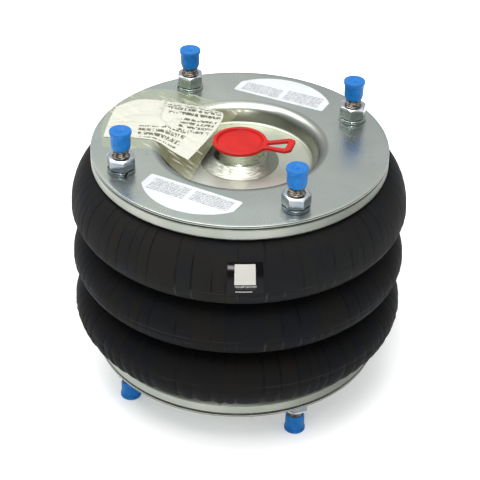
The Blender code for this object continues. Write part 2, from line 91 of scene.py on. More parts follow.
camera = bpy.data.objects.new("camera", bpy.data.cameras.new("camera"))
bpy.context.scene.collection.objects.link(camera)
camera.matrix_world = camera_matrix()
camera.data.sensor_width = SENSOR_WIDTH
camera.data.lens = SENSOR_WIDTH * FOCAL_LENGTH_IN_PIXELS / PICTURE_SIDE
camera.data.shift_x = 0.5 - PICTURE_CENTRE[0] / PICTURE_SIDE
camera.data.shift_y = PICTURE_CENTRE[1] / PICTURE_SIDE - 0.5
bpy.context.scene.camera = camera
print("lens", round(camera.data.lens, 1), "mm")

# %% [markdown]
# ## Sizes read from the frame
#
# Nothing is measured twice: the plate's faces, the stud circle and the hoops are read from the packed
# pieces. Both ends are drawn the same way, with zero on the plate's outer face and +Z away from the
# rubber, so the lower one is only turned upside down.

# %% Sizes
UPPER_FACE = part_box("upper_end_plate")[1].z
LOWER_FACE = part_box("lower_end_plate")[0].z
RIM_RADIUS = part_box("upper_end_plate")[1].x
RING_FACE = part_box("upper_clamp_ring")[0].z - UPPER_FACE
RING_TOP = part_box("upper_clamp_ring")[1].z - UPPER_FACE
GAP = 0.0003
SHEET = -RING_TOP - GAP
DISH_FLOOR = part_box("upper_end_plate")[0].z - UPPER_FACE + SHEET
ENDS = {
    "upper": Matrix.Translation((0.0, 0.0, UPPER_FACE)),
    "lower": Matrix.Translation((0.0, 0.0, LOWER_FACE)) @ Matrix.Rotation(math.pi, 4, "X"),
}


def middle(node):
    """The middle of a node's box."""
    low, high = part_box(node)
    return (low + high) / 2


def reach(node):
    """How low and how high an upper node reaches from the plate's outer face."""
    return [corner.z - UPPER_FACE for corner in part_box(node)]


def stud_place(side):
    """The first stud's radius and angle, and the angle from one stud to the next, in the end's own axes."""
    spots = [ENDS[side].inverted() @ middle(f"{side}_stud_{n}") for n in (1, 2)]
    first, second = (math.atan2(spot.y, spot.x) for spot in spots)
    return spots[0].xy.length, first, math.remainder(second - first, math.tau)


print("stud circle", [round(x, 4) for x in stud_place("upper")])

# %% [markdown]
# ## Outlines and turned pieces
#
# Most pieces of this object were turned, pressed or moulded round, so one helper turns an outline
# about Z. The outline is written as corners with a bend radius each, as on a shop drawing. A second
# helper may push each point in or out, which gives a thread, a hexagon or a dented cap its shape.

# %% Outline helpers
def bent(corners, steps=5, closed=False):
    """Corners (radius, height, bend) as a line of points, each corner rounded by its bend."""
    line = []
    count = len(corners)
    for index, (x, y, bend) in enumerate(corners):
        corner = Vector((x, y))
        at_end = index in (0, count - 1) and not closed
        if bend <= 0.0 or at_end:
            line.append((x, y))
            continue
        before = (Vector(corners[index - 1][:2]) - corner).normalized()
        after = (Vector(corners[(index + 1) % count][:2]) - corner).normalized()
        half = before.angle(after) / 2
        centre = corner + (before + after).normalized() * (bend / math.sin(half))
        first = corner + before * (bend / math.tan(half)) - centre
        last = corner + after * (bend / math.tan(half)) - centre
        start = math.atan2(first.y, first.x)
        sweep = math.remainder(math.atan2(last.y, last.x) - start, math.tau)
        for step in range(steps + 1):
            angle = start + sweep * step / steps
            line.append((centre.x + bend * math.cos(angle), centre.y + bend * math.sin(angle)))
    return line


print("a corner of a quarter circle:", len(bent([(0, 0, 0), (1, 0, 0.5), (1, 1, 0)])), "points")


def shifted(line, distance):
    """The line moved sideways by an even distance, to the left of its direction."""
    moved = []
    for index, point in enumerate(line):
        before = Vector(line[max(index - 1, 0)])
        after = Vector(line[min(index + 1, len(line) - 1)])
        along = (after - before).normalized()
        moved.append((point[0] - along.y * distance, point[1] + along.x * distance))
    return moved


# %% [markdown]
# ## Turning a line into a piece
#
# The real pieces come off a lathe or out of a round mould. A Screw modifier could turn the line too, but
# it can't reshape a point by its angle, so the rings of points are made here. Doubles are merged and the
# normals recalculated before the mesh is shaded.

# %% Turning helpers
SMOOTH_ANGLE = math.radians(32)


def link(mesh, name):
    thing = bpy.data.objects.new(name, mesh)
    bpy.context.scene.collection.objects.link(thing)
    return thing


def tidied(shape, name, place=None):
    """A finished mesh: doubles merged, faces outward, in place and shaded smooth up to an angle."""
    bmesh.ops.remove_doubles(shape, verts=shape.verts, dist=0.0000005)
    bmesh.ops.recalc_face_normals(shape, faces=shape.faces)
    mesh = bpy.data.meshes.new(name)
    shape.to_mesh(mesh)
    shape.free()
    if place is not None:
        mesh.transform(place)
    mesh.shade_smooth()
    mesh.set_sharp_from_angle(angle=SMOOTH_ANGLE)
    return mesh


def turned(name, line, around, reshape=None, place=None):
    """A line of (radius, height) points turned about Z. A line that starts off the axis is closed."""
    shape = bmesh.new()
    rings = []
    for radius, height in line:
        ring = []
        for step in range(around):
            angle = math.tau * step / around
            r, z = reshape(radius, angle, height) if reshape else (radius, height)
            ring.append(shape.verts.new((r * math.cos(angle), r * math.sin(angle), z)))
        rings.append(ring)
    if line[0][0] > 0.0:
        rings.append(rings[0])
    for upper, lower in zip(rings, rings[1:]):
        for step in range(around):
            following = (step + 1) % around
            shape.faces.new((upper[step], upper[following], lower[following], lower[step]))
    return tidied(shape, name, place)


print("edges sharper than", round(math.degrees(SMOOTH_ANGLE)), "degrees stay crisp")


# %% [markdown]
# ## Wiring nodes with arithmetic
#
# Materials and geometry trees are both sums: a groove is a sine, a stain is noise times a mask. A small
# class wraps one socket, so that a sum can be written as Python writes it, and each + or * adds one
# Math node. Every other node is made by one method, which takes its type, settings and inputs.

# %% Node helpers
class Number:
    """A number on its way through a node tree. Arithmetic on it adds Math nodes."""

    def __init__(self, board, socket):
        self.board = board
        self.socket = socket

    def __add__(self, other):
        return self.board.math("ADD", self, other)

    def __sub__(self, other):
        return self.board.math("SUBTRACT", self, other)

    def __mul__(self, other):
        return self.board.math("MULTIPLY", self, other)

    def __truediv__(self, other):
        return self.board.math("DIVIDE", self, other)

    def __rsub__(self, other):
        return self.board.math("SUBTRACT", other, self)

    def __rtruediv__(self, other):
        return self.board.math("DIVIDE", other, self)

    __radd__ = __add__
    __rmul__ = __mul__


# %% [markdown]
# ## A board to wire on
#
# Materials, geometry trees and the sky are all wired the same way. The board makes any node from its
# type, its settings and its inputs, and knows the few patterns that the finishes use again and again.

# %% Board
class Board:
    """A node tree that is being wired, for a material or for geometry."""

    def __init__(self, tree):
        self.tree = tree

    def feed(self, socket, value):
        """Give a socket a link or a value."""
        if isinstance(value, Number):
            value = value.socket
        if isinstance(value, bpy.types.NodeSocket):
            self.tree.links.new(value, socket)
        else:
            socket.default_value = value

    def add(self, kind, settings=None, inputs=None):
        """One node of any type. Settings come first, then the values or links of its sockets."""
        node = self.tree.nodes.new(kind)
        for key, value in (settings or {}).items():
            if key == "stops":
                self.set_stops(node.color_ramp, value)
            else:
                setattr(node, key, value)
        for key, value in (inputs or {}).items():
            self.feed(node.inputs[key], value)
        return node

    def set_stops(self, ramp, stops):
        while len(ramp.elements) < len(stops):
            ramp.elements.new(1.0)
        for element, (position, colour) in zip(ramp.elements, stops):
            element.position = position
            element.color = colour

    def math(self, operation, *values):
        node = self.add("ShaderNodeMath", {"operation": operation}, dict(enumerate(values)))
        return Number(self, node.outputs[0])

    def number(self, kind, settings=None, inputs=None, output=0):
        """A node whose output is used as a number."""
        return Number(self, self.add(kind, settings, inputs).outputs[output])

    def between(self, value, low, high):
        """0 below low and 1 above high, with a smooth step between."""
        inputs = {"Value": value, "From Min": low, "From Max": high}
        return self.number("ShaderNodeMapRange", {"interpolation_type": "SMOOTHSTEP"}, inputs)

    def window(self, value, rise, full, fall, end):
        """0, then 1 from full to fall, then 0 again from end on."""
        return self.between(value, rise, full) * (1.0 - self.between(value, fall, end))

    def noise(self, vector, scale, detail=2.0, rough=0.5):
        inputs = {"Vector": vector, "Scale": scale, "Detail": detail, "Roughness": rough}
        return self.number("ShaderNodeTexNoise", None, inputs)

    def vector(self, x, y, z):
        return self.add("ShaderNodeCombineXYZ", None, {0: x, 1: y, 2: z}).outputs[0]

    def blend(self, share, one, other):
        """One colour turning into the other as share goes from 0 to 1."""
        node = self.add("ShaderNodeMix", {"data_type": "RGBA", "clamp_factor": True})
        for name, kind, value in (("Factor", "VALUE", share), ("A", "RGBA", one), ("B", "RGBA", other)):
            socket = [s for s in node.inputs if (s.name, s.type) == (name, kind)][0]
            self.feed(socket, self.colour(value))
        return [s for s in node.outputs if s.type == "RGBA"][0]

    def colour(self, value):
        return (*value, 1.0) if isinstance(value, tuple) and len(value) == 3 else value


print("a board adds, feeds and mixes nodes")

# %% [markdown]
# ## A finish for a piece
#
# Every material here is a Principled shader whose pattern reads Object coordinates, so it stays on the
# piece when the piece moves. The pieces sit at the origin, so these are also the frame's own metres. In
# the picture the metal is brighter on one side than on the other, and several finishes paint that light
# and shade into their base colour, as painted light and painted shade. That side is an angle on the
# object, and the finishes keep it when the camera goes round.

# %% Finish
BRIGHT_SIDE = math.radians(-70.1)


class Finish(Board):
    """A material: its Principled shader, and the coordinates that its pattern reads."""

    def __init__(self, name, **constants):
        self.material = bpy.data.materials.new(f"{name}_finish")
        self.material.use_nodes = True
        super().__init__(self.material.node_tree)
        self.shader = self.tree.nodes["Principled BSDF"]
        self.place = self.add("ShaderNodeTexCoord").outputs["Object"]
        split = self.add("ShaderNodeSeparateXYZ", None, {0: self.place})
        self.x, self.y, self.z = (Number(self, socket) for socket in split.outputs)
        for key, value in constants.items():
            self.shader.inputs[key.replace("_", " ")].default_value = value

    def radius(self):
        return self.math("SQRT", self.x * self.x + self.y * self.y)

    def angle(self):
        return self.math("ARCTAN2", self.y, self.x)

    def towards(self):
        """How far a point lies towards the object's bright side, along which light and shade are painted."""
        return self.x * math.cos(BRIGHT_SIDE) + self.y * math.sin(BRIGHT_SIDE)

    def across(self):
        """How far a point lies to one side of the line that runs to the bright side."""
        return self.y * math.cos(BRIGHT_SIDE) - self.x * math.sin(BRIGHT_SIDE)

    def from_rubber(self):
        """The height over an end plate's outer face, counted away from the rubber at both ends."""
        half = (UPPER_FACE - LOWER_FACE) / 2
        return self.math("ABSOLUTE", self.z - (UPPER_FACE + LOWER_FACE) / 2) - half

    def flat(self):
        """The two coordinates of a sheet's own map, in metres."""
        flat = self.add("ShaderNodeSeparateXYZ", None, {0: self.add("ShaderNodeTexCoord").outputs["UV"]})
        return Number(self, flat.outputs[0]), Number(self, flat.outputs[1])

    def set(self, **values):
        for key, value in values.items():
            self.feed(self.shader.inputs[key.replace("_", " ")], self.colour(value))

    def bump(self, height, distance, below=None):
        """Raise the surface by height times distance, over another bump if one is given."""
        inputs = {"Height": height, "Distance": distance, "Strength": 1.0}
        if below is not None:
            inputs["Normal"] = below
        return self.add("ShaderNodeBump", None, inputs).outputs[0]


print("bright side at", round(math.degrees(BRIGHT_SIDE), 1), "degrees")

# %% [markdown]
# ## Zinc on the plates
#
# Zinc plating on pressed sheet is a soft mirror. It has faint clouds of blue and straw yellow from the
# passivation, a fine grain, and reflections that waver because the sheet is never quite flat. The
# clouds are low-frequency noise in the base colour, the grain is fine noise in the roughness, and the
# waver is a very shallow, very wide bump. Light and shade are painted into the base colour too: painted
# shade darkens the plate towards one side, the dish's wall and the bend at its mouth, and painted light
# brightens the dish floor on its half towards the bright side. The rim's side face carries a painted
# dark reflection, with very dark lines of painted shade in the groove under the upper plate's top edge
# and next to the gap to the ring.

# %% Plate zinc
def zinc_sheet():
    """The end plates: soft clouds, fine grain, and rings left by turning round the port."""
    zinc = Finish("zinc_sheet", Metallic=1.0)
    cloud = zinc.noise(zinc.place, 11.0, 3.0)
    patch = zinc.noise(zinc.place, 34.0, 4.0)
    grain = zinc.noise(zinc.place, 1500.0, 2.0)
    radius = zinc.radius()
    cool = zinc.blend(zinc.between(cloud, 0.35, 0.65), (0.545, 0.62, 0.585), (0.635, 0.68, 0.63))
    straw = zinc.blend(zinc.between(patch, 0.52, 0.75) * 0.6, cool, (0.56, 0.57, 0.45))
    inside_dish = 1.0 - zinc.between(radius, 0.050, 0.064)
    sideways = zinc.across()
    # Painted shade: the plate is painted darker towards one side.
    shaded = zinc.blend(zinc.between(sideways, -0.04, 0.09) * 0.50, straw, (0.45, 0.47, 0.45))
    # Painted light: the dish floor is painted much lighter on its half towards the bright side.
    lighter = zinc.blend(zinc.between(zinc.towards(), 0.018, 0.040), (0.56, 0.57, 0.47), (0.88, 0.89, 0.80))
    floor = zinc.blend(inside_dish * 0.75, shaded, lighter)
    # Painted shade: the dish's wall and the bend at its mouth are painted darker, the bend more so on one
    # side.
    wall = zinc.window(radius, 0.0530, 0.0560, 0.0590, 0.0615)
    lip = zinc.window(radius, 0.0590, 0.0610, 0.0665, 0.0690)
    lip = lip * (zinc.between(sideways, -0.01, 0.05) * 0.35 + 0.45)
    dish = zinc.blend(lip, zinc.blend(wall * 0.80, floor, (0.30, 0.31, 0.235)), (0.30, 0.31, 0.28))
    spots = zinc.number("ShaderNodeTexVoronoi", None, {"Vector": zinc.place, "Scale": 95.0})
    stained = zinc.between(zinc.noise(zinc.place, 26.0), 0.56, 0.66)
    stain = (1.0 - zinc.between(spots, 0.10, 0.24)) * stained * zinc.between(radius, 0.048, 0.056) * 0.45
    plated = zinc.blend(stain, dish, (0.34, 0.27, 0.19))
    wavy = zinc.noise(zinc.vector(zinc.angle() * 14.0, 0.0, 0.0), 1.0, 3.0) * 0.0007
    # Painted reflection and painted shade on the rim's side face: a darker grey, a little darker on the
    # upper plate, with a very dark line in the upper plate's groove under its top edge and a very dark band
    # with a wavy edge next to the gap to the ring.
    deep = 0.0 - zinc.from_rubber()
    above = zinc.math("GREATER_THAN", zinc.z, (UPPER_FACE + LOWER_FACE) / 2)
    painted_rim_shade = zinc.window(deep, 0.0003, 0.0005, 0.0008, 0.0010) * above
    painted_gap_shade = zinc.between(deep + wavy, 0.0021, 0.0023) * (1.0 - zinc.between(deep, 0.0027, 0.0030))
    painted_rim_shade = painted_rim_shade + painted_gap_shade
    cut_edge = zinc.between(radius, RIM_RADIUS - 0.0006, RIM_RADIUS - 0.0003)
    edge = zinc.blend(above, (0.29, 0.29, 0.26), (0.24, 0.255, 0.225))
    side = zinc.blend(painted_rim_shade, edge, (0.018, 0.021, 0.018))
    zinc.set(Base_Color=zinc.blend(cut_edge * zinc.between(deep, 0.0001, 0.0003), plated, side))
    zinc.set(Roughness=0.20 + patch * 0.12 + grain * 0.05 + stain * 0.2 + inside_dish * 0.10)
    polar = zinc.vector(radius * 2600.0, zinc.angle() * 2.0, 0.0)
    rings = zinc.noise(polar, 1.0, 3.0) * (1.0 - zinc.between(radius, 0.034, 0.044))
    waver = zinc.bump(zinc.noise(zinc.place, 17.0, 1.0), 0.0012)
    turned_marks = zinc.bump(rings, 0.00008, waver)
    zinc.set(Normal=zinc.bump(grain, 0.000012, turned_marks))
    return zinc.material


ZINC_SHEET = zinc_sheet()
print(ZINC_SHEET.name, len(ZINC_SHEET.node_tree.nodes), "nodes")

# %% [markdown]
# ## Zinc on the clamp rings
#
# The rings are rolled and machined, so they are duller than the sheet and carry fine lines that run
# round them. Noise on the angle, stretched a thousand times less than on the radius and the height,
# gives lines like that. One side is painted darker, as painted shade, because the ring there faces the
# dark part of the studio.

# %% Ring zinc
def zinc_ring():
    """The clamp rings: lighter and flatter than the sheet, with fine lines round them."""
    zinc = Finish("zinc_ring", Metallic=1.0)
    cloud = zinc.noise(zinc.place, 30.0, 3.0)
    lines = zinc.noise(zinc.vector(zinc.angle() * 3.0, zinc.radius() * 2000.0, zinc.z * 2200.0), 1.0, 2.0)
    tint = zinc.blend(zinc.between(cloud, 0.35, 0.68), (0.272, 0.295, 0.258), (0.335, 0.345, 0.308))
    # Painted shade: the ring's colour is painted darker on one side, where it faces the dark part of the
    # studio.
    painted_side_shade = zinc.between(zinc.math("COSINE", zinc.angle() - 0.15), 0.25, 0.95)
    zinc.set(Base_Color=zinc.blend(painted_side_shade * 0.85, tint, (0.10, 0.11, 0.092)), Roughness=0.34 + lines * 0.10)
    zinc.set(Normal=zinc.bump(lines, 0.00003, zinc.bump(cloud, 0.0006)))
    return zinc.material


ZINC_RING = zinc_ring()
print(ZINC_RING.name, len(ZINC_RING.node_tree.nodes), "nodes")

# %% [markdown]
# ## Zinc on the nuts and washers
#
# Small turned parts are barrel-plated, which leaves them bluer and nicked all over. The nut's chamfer
# is the brightest thing on it, so a mask by height lifts the colour there, as a painted highlight. The
# half of each nut and washer towards the bright side is painted darker, as painted shade.

# %% Fastener zinc
def zinc_fastener():
    """Nuts and washers: bluer, a painted highlight on the nut's chamfer, painted shade on one half, small
    nicks.
    """
    zinc = Finish("zinc_fastener", Metallic=1.0)
    nut_top = reach("upper_nut_1")[1]
    # Painted highlight: the colour is lifted on the nut's chamfer.
    crown = zinc.between(zinc.from_rubber(), nut_top - 0.0024, nut_top - 0.0010)
    cloud = zinc.noise(zinc.place, 120.0, 3.0)
    nicks = zinc.noise(zinc.place, 900.0, 4.0, 0.7)
    # Painted shade: nuts and washers are painted darker on their half towards the bright side.
    near = zinc.between(zinc.towards(), -0.03, 0.03)
    bright = zinc.blend(near, (0.47, 0.52, 0.48), (0.25, 0.27, 0.27))
    plain = zinc.blend(near, (0.40, 0.45, 0.43), (0.195, 0.23, 0.265))
    tint = zinc.blend(zinc.between(cloud, 0.38, 0.66), plain, bright)
    tint = zinc.blend(crown, tint, (0.58, 0.63, 0.68))
    zinc.set(Base_Color=tint, Roughness=0.14 + cloud * 0.10 + zinc.between(nicks, 0.55, 0.7) * 0.12)
    zinc.set(Normal=zinc.bump(nicks, 0.00003))
    return zinc.material


ZINC_FASTENER = zinc_fastener()
print(ZINC_FASTENER.name, len(ZINC_FASTENER.node_tree.nodes), "nodes")

# %% [markdown]
# ## Steel of the studs, the port and the hoops
#
# A rolled thread holds oil and dirt in its roots, so its steel is browner. The port was turned on a
# lathe, and its tool lines draw the light out into rays: noise by radius with very little change by
# angle does the same. The port is painted darker at its sides, on the boss and in lines on the flare,
# as painted shade, so that the bright part of the flare stays at its front. The hoops are plain wire
# with a first bloom of rust.

# %% Steel
def thread_steel():
    """Rolled threads: darker and browner, oily in the roots."""
    steel = Finish("stud_steel", Metallic=1.0)
    grime = steel.noise(steel.place, 420.0, 4.0)
    tint = steel.blend(steel.between(grime, 0.36, 0.66), (0.10, 0.085, 0.07), (0.42, 0.38, 0.31))
    steel.set(Base_Color=tint, Roughness=0.20 + grime * 0.22)
    steel.set(Normal=steel.bump(grime, 0.00004))
    return steel.material


def port_steel():
    """The port: turned steel under thin zinc, with tool lines that draw out the light, and painted shade at
    its sides.
    """
    steel = Finish("port_steel", Metallic=1.0)
    radius = steel.radius()
    lines = steel.noise(steel.vector(radius * 1500.0, steel.angle() * 4.0, steel.z * 900.0), 1.0, 3.0)
    cloud = steel.noise(steel.place, 60.0, 3.0)
    tint = steel.blend(steel.between(cloud, 0.36, 0.66), (0.50, 0.52, 0.43), (0.60, 0.61, 0.52))
    foot = steel.between(radius, 0.0245, 0.0285)
    flare = steel.between(radius, 0.0192, 0.0215)
    aside = steel.math("ABSOLUTE", steel.across())
    tint = steel.blend(foot, tint, (0.60, 0.615, 0.525))
    # Painted shade: the boss is painted darker away from the line that runs to the bright side.
    tint = steel.blend((1.0 - flare) * steel.between(aside, 0.002, 0.012) * 0.55, tint, (0.22, 0.23, 0.18))
    # Painted shade: the flare is painted darker in lines that follow the tool lines, and fully at its far
    # sides.
    painted_flare_shade = steel.between(lines, 0.44, 0.56) * steel.between(aside, 0.001, 0.015) * 0.75
    painted_flare_shade = steel.math("MAXIMUM", painted_flare_shade, steel.between(aside, 0.013, 0.022) * 0.8)
    tint = steel.blend(flare * painted_flare_shade, tint, (0.17, 0.18, 0.15))
    steel.set(Base_Color=tint, Roughness=0.20 + lines * 0.12 + flare * 0.12)
    steel.set(Normal=steel.bump(lines * (1.0 - foot * 0.6) * (flare + 0.7), 0.00034))
    return steel.material


def hoop_steel():
    steel = Finish("hoop_steel", Metallic=1.0)
    rust = steel.noise(steel.place, 160.0, 4.0)
    tint = steel.blend(steel.between(rust, 0.45, 0.7), (0.22, 0.22, 0.23), (0.17, 0.12, 0.09))
    steel.set(Base_Color=tint, Roughness=0.38 + rust * 0.25, Normal=steel.bump(rust, 0.0001))
    return steel.material


STUD_STEEL = thread_steel()
PORT_STEEL = port_steel()
HOOP_STEEL = hoop_steel()
print("steels:", STUD_STEEL.name, PORT_STEEL.name, HOOP_STEEL.name)

# %% [markdown]
# ## Bands of wrapped rubber
#
# The rubber was wrapped in strips of fabric while it cured, so its skin carries upright bands with a
# faint crease between them, each a little bluer or browner than the next. The same formula places the
# bands here and in the geometry below: the angle times the number of bands, bent by two slow waves
# so that no two bands are equally wide. Waves that fit a whole number of times into a turn leave no seam.

# %% Bands
BANDS = 68
BAND_WAVES = ((3, 0.9, 0.55), (11, 2.1, 0.32), (23, 4.0, 0.16))


def band_number(board, angle):
    """The running number of the band at an angle: whole numbers are creases."""
    total = angle * (BANDS / math.tau) + BANDS
    for turns, start, depth in BAND_WAVES:
        total = total + board.math("SINE", angle * float(turns) + start) * depth
    return total


print(BANDS, "bands, about", round(math.tau * RIM_RADIUS / BANDS * 1000, 1), "mm wide at the rim")

# %% [markdown]
# ## Rubber
#
# Cured rubber is nearly black and only a little glossy. What the eye reads on it is the wrapped bands,
# the creases between them, which turn pale where the rubber rubs low on a fold, a fine line where the
# mould parted, and dust in the grain. Each is a mask that turns one dark colour into another. The
# creases are also painted darker, as painted shade, and the black is painted lighter towards the top
# and darker low down, as painted light and shade.

# %% Rubber
PARTING_HEIGHTS = (0.0760, 0.1190, 0.1628)
SEAM_FEET = (0.0485, 0.1040, 0.1500)
MARK_PITCH = 0.0071


def moulded_marks(board):
    """A few worn upright strokes over a line, moulded into the upper fold."""
    along = board.angle() * 0.13
    stroke = board.math("FRACT", along / MARK_PITCH)
    cell = board.math("FLOOR", along / MARK_PITCH)
    speck = board.noise(board.vector(cell * 3.1, along * 260.0, board.z * 420.0), 1.0, 2.0)
    worn = board.between(speck, 0.40, 0.52)
    upright = board.window(stroke, 0.10, 0.18, 0.30, 0.38)
    tall = board.window(board.z, 0.1705, 0.1712, 0.1790, 0.1797)
    line = board.window(board.z, 0.1680, 0.1684, 0.1688, 0.1692)
    place = board.window(board.angle(), *(math.radians(turn) for turn in (-39, -38.5, -22, -21.5)))
    return (upright * tall * worn + line * worn) * place


def parting_line(board, height):
    """A pale line round a fold, where the halves of its mould met."""
    return board.window(board.z, height - 0.0005, height - 0.0002, height, height + 0.0003)


def rubber():
    """Black rubber: bands of slightly different black, creases in painted shade that turn pale low on a
    fold, painted light towards the top, and grain.
    """
    rubber = Finish("rubber", Specular_IOR_Level=0.05)
    band = band_number(rubber, rubber.angle())
    inside = rubber.math("FRACT", band)
    whole = rubber.math("FLOORED_MODULO", rubber.math("FLOOR", band), float(BANDS))
    level = rubber.math("FLOOR", rubber.z * 21.0)
    tone = rubber.number("ShaderNodeTexWhiteNoise", {"noise_dimensions": "2D"},
                         {"Vector": rubber.vector(whole, level, 0.0)}, output="Value")
    edge = rubber.math("MINIMUM", inside, 1.0 - inside)
    crease = 1.0 - rubber.between(edge, 0.02, 0.09)
    fades = rubber.between(rubber.noise(rubber.place, 30.0, 2.0), 0.40, 0.62)
    blotch = rubber.between(rubber.noise(rubber.place, 22.0, 4.0), 0.42, 0.68)
    grain = rubber.noise(rubber.place, 900.0, 3.0)
    # Painted light and shade: the black is painted lighter towards the top and darker low down.
    rise = rubber.between(rubber.z, 0.105, 0.170)
    bluish = rubber.blend(rise, (0.0050, 0.0058, 0.0078), (0.0092, 0.0102, 0.0126))
    greyish = rubber.blend(rise, (0.0072, 0.0073, 0.0066), (0.0124, 0.0126, 0.0114))
    black = rubber.blend(tone, bluish, greyish)
    brown = rubber.blend(blotch * 0.28, black, (0.0150, 0.0115, 0.0085))
    # Painted shade: the creases between the bands are painted darker.
    creased = rubber.blend(crease * fades * 0.7, brown, (0.0025, 0.0025, 0.0026))
    lines = [parting_line(rubber, height) for height in PARTING_HEIGHTS]
    creased = rubber.blend((lines[0] + lines[1] + lines[2]) * fades * 0.45, creased, (0.040, 0.040, 0.038))
    seam = (1.0 - rubber.between(edge, 0.015, 0.045)) * (1.0 - fades * 0.6)
    low = [rubber.window(rubber.z, foot, foot + 0.003, foot + 0.011, foot + 0.015) for foot in SEAM_FEET]
    creased = rubber.blend(seam * (low[0] + low[1] + low[2]) * 0.5, creased, (0.050, 0.052, 0.050))
    dusty = rubber.between(grain, 0.55, 0.8) * 0.12
    rubber.set(Base_Color=rubber.blend(dusty, creased, (0.022, 0.022, 0.022)))
    rubber.set(Roughness=0.56 + tone * 0.08 + blotch * 0.08 + grain * 0.08)
    strips = rubber.bump(tone * 0.5 - crease * fades * 0.6 + moulded_marks(rubber) * 1.6, 0.00022)
    rubber.set(Normal=rubber.bump(grain, 0.00006, strips))
    return rubber.material


RUBBER = rubber()
print(RUBBER.name, len(RUBBER.node_tree.nodes), "nodes")

# %% [markdown]
# ## Caps and plug
#
# Polyethylene lets a little light in, so both plastics have some subsurface scatter, as a constant on
# the shader. The caps scuff paler on their edges, and the plug is smoother and redder in its hollows.

# %% Plastics
def cap_plastic():
    """Soft polyethylene: a satin blue that scuffs paler on its edges, with a crown coloured apart as painted
    light.
    """
    blue = Finish("blue_plastic", Specular_IOR_Level=0.20, Subsurface_Weight=0.12, Subsurface_Scale=0.002)
    cap_top = reach("upper_thread_cap_1")[1]
    # Painted light: the crown, which faces the light from above, gets a colour of its own, apart from the
    # sides.
    crown = blue.between(blue.from_rubber(), cap_top - 0.0016, cap_top - 0.0007)
    cloud = blue.noise(blue.place, 260.0, 4.0)
    scuff = blue.between(blue.noise(blue.place, 1100.0, 5.0, 0.7), 0.58, 0.70)
    tint = blue.blend(blue.between(cloud, 0.35, 0.7), (0.001, 0.115, 0.37), (0.002, 0.155, 0.48))
    tint = blue.blend(crown, tint, (0.014, 0.135, 0.41))
    blue.set(Base_Color=blue.blend(scuff * 0.12, tint, (0.06, 0.28, 0.62)))
    blue.set(Roughness=0.36 + cloud * 0.12 + scuff * 0.15, Normal=blue.bump(cloud, 0.00018))
    return blue.material


def plug_plastic():
    red = Finish("red_plastic", Specular_IOR_Level=0.26, Subsurface_Weight=0.10, Subsurface_Scale=0.003)
    cloud = red.noise(red.place, 70.0, 3.0)
    grain = red.noise(red.place, 1300.0, 3.0)
    tint = red.blend(red.between(cloud, 0.3, 0.7), (0.40, 0.006, 0.004), (0.46, 0.010, 0.007))
    red.set(Base_Color=tint, Roughness=0.30 + cloud * 0.10 + grain * 0.10)
    red.set(Normal=red.bump(grain, 0.00003, red.bump(cloud, 0.0003)))
    return red.material


BLUE_PLASTIC = cap_plastic()
RED_PLASTIC = plug_plastic()
print("plastics:", BLUE_PLASTIC.name, RED_PLASTIC.name)

# %% [markdown]
# ## Paper, film and tape
#
# From a metre away a printed sheet shows only rows of small dark marks, so noise in rows does for it.
# These sheets have a map of their own, in metres, so their patterns follow them where they bend. The
# tape is mostly clear, and pale, more opaque streaks on it are painted highlights of its crinkles.

# %% Sheet finishes
def printed_rows(board, u, v, pitch, area, scale, seed, upright=0.8):
    """Rows of small marks that read as print from afar, inside an area (left, right, low, high)."""
    left, right, low, high = area
    row = board.math("FLOOR", v / pitch)
    inside = board.math("FRACT", v / pitch)
    line = board.window(inside, 0.08, 0.16, 0.70, 0.80)
    speck = board.noise(board.vector(u * scale, v * scale * upright, row * 2.3 + seed), 1.0, 2.0)
    marks = board.between(speck, 0.43, 0.50)
    across = board.math("GREATER_THAN", u, left) * board.math("LESS_THAN", u, right)
    along = board.math("GREATER_THAN", v, low) * board.math("LESS_THAN", v, high)
    return line * marks * across * along


def sticker_film():
    """White film with two blocks of fine grey rows."""
    film = Finish("label_white", Roughness=0.42)
    u, v = film.flat()
    left = printed_rows(film, u, v, 0.0019, (-0.033, -0.002, 0.003, 0.0185), 1300.0, 0.0)
    right = printed_rows(film, u, v, 0.0019, (0.002, 0.034, 0.003, 0.0165), 1300.0, 9.0)
    dirt = film.between(film.noise(film.place, 70.0, 3.0), 0.50, 0.75)
    white = film.blend(dirt * 0.5, (0.56, 0.575, 0.585), (0.48, 0.49, 0.49))
    film.set(Base_Color=film.blend((left + right) * 0.78, white, (0.115, 0.12, 0.135)))
    return film.material


def label_paper():
    """Cream paper with grey streaks at one end and dark rows at the other."""
    paper = Finish("label_paper", Roughness=0.55)
    u, v = paper.flat()
    rows = printed_rows(paper, u, v, 0.0036, (0.044, 0.083, 0.002, 0.0090), 700.0, 0.0)
    rows = rows + printed_rows(paper, u, v, 0.0070, (0.046, 0.083, 0.0090, 0.0210), 820.0, 4.0, 0.25)
    rows = rows + printed_rows(paper, u, v, 0.0046, (0.056, 0.081, 0.0230, 0.0400), 760.0, 8.0, 0.4)
    rows = rows + printed_rows(paper, u, v, 0.0062, (0.026, 0.066, 0.0400, 0.0580), 760.0, 12.0, 0.3)
    streak = paper.between(paper.noise(paper.vector(u * 30.0, v * 230.0, 0.0), 1.0, 3.0), 0.50, 0.72)
    streak = streak * (1.0 - paper.between(u, 0.040, 0.050)) * 0.7
    cream = paper.blend(streak, (0.575, 0.575, 0.55), (0.41, 0.41, 0.36))
    paper.set(Base_Color=paper.blend(rows, cream, (0.008, 0.008, 0.010)))
    return paper.material


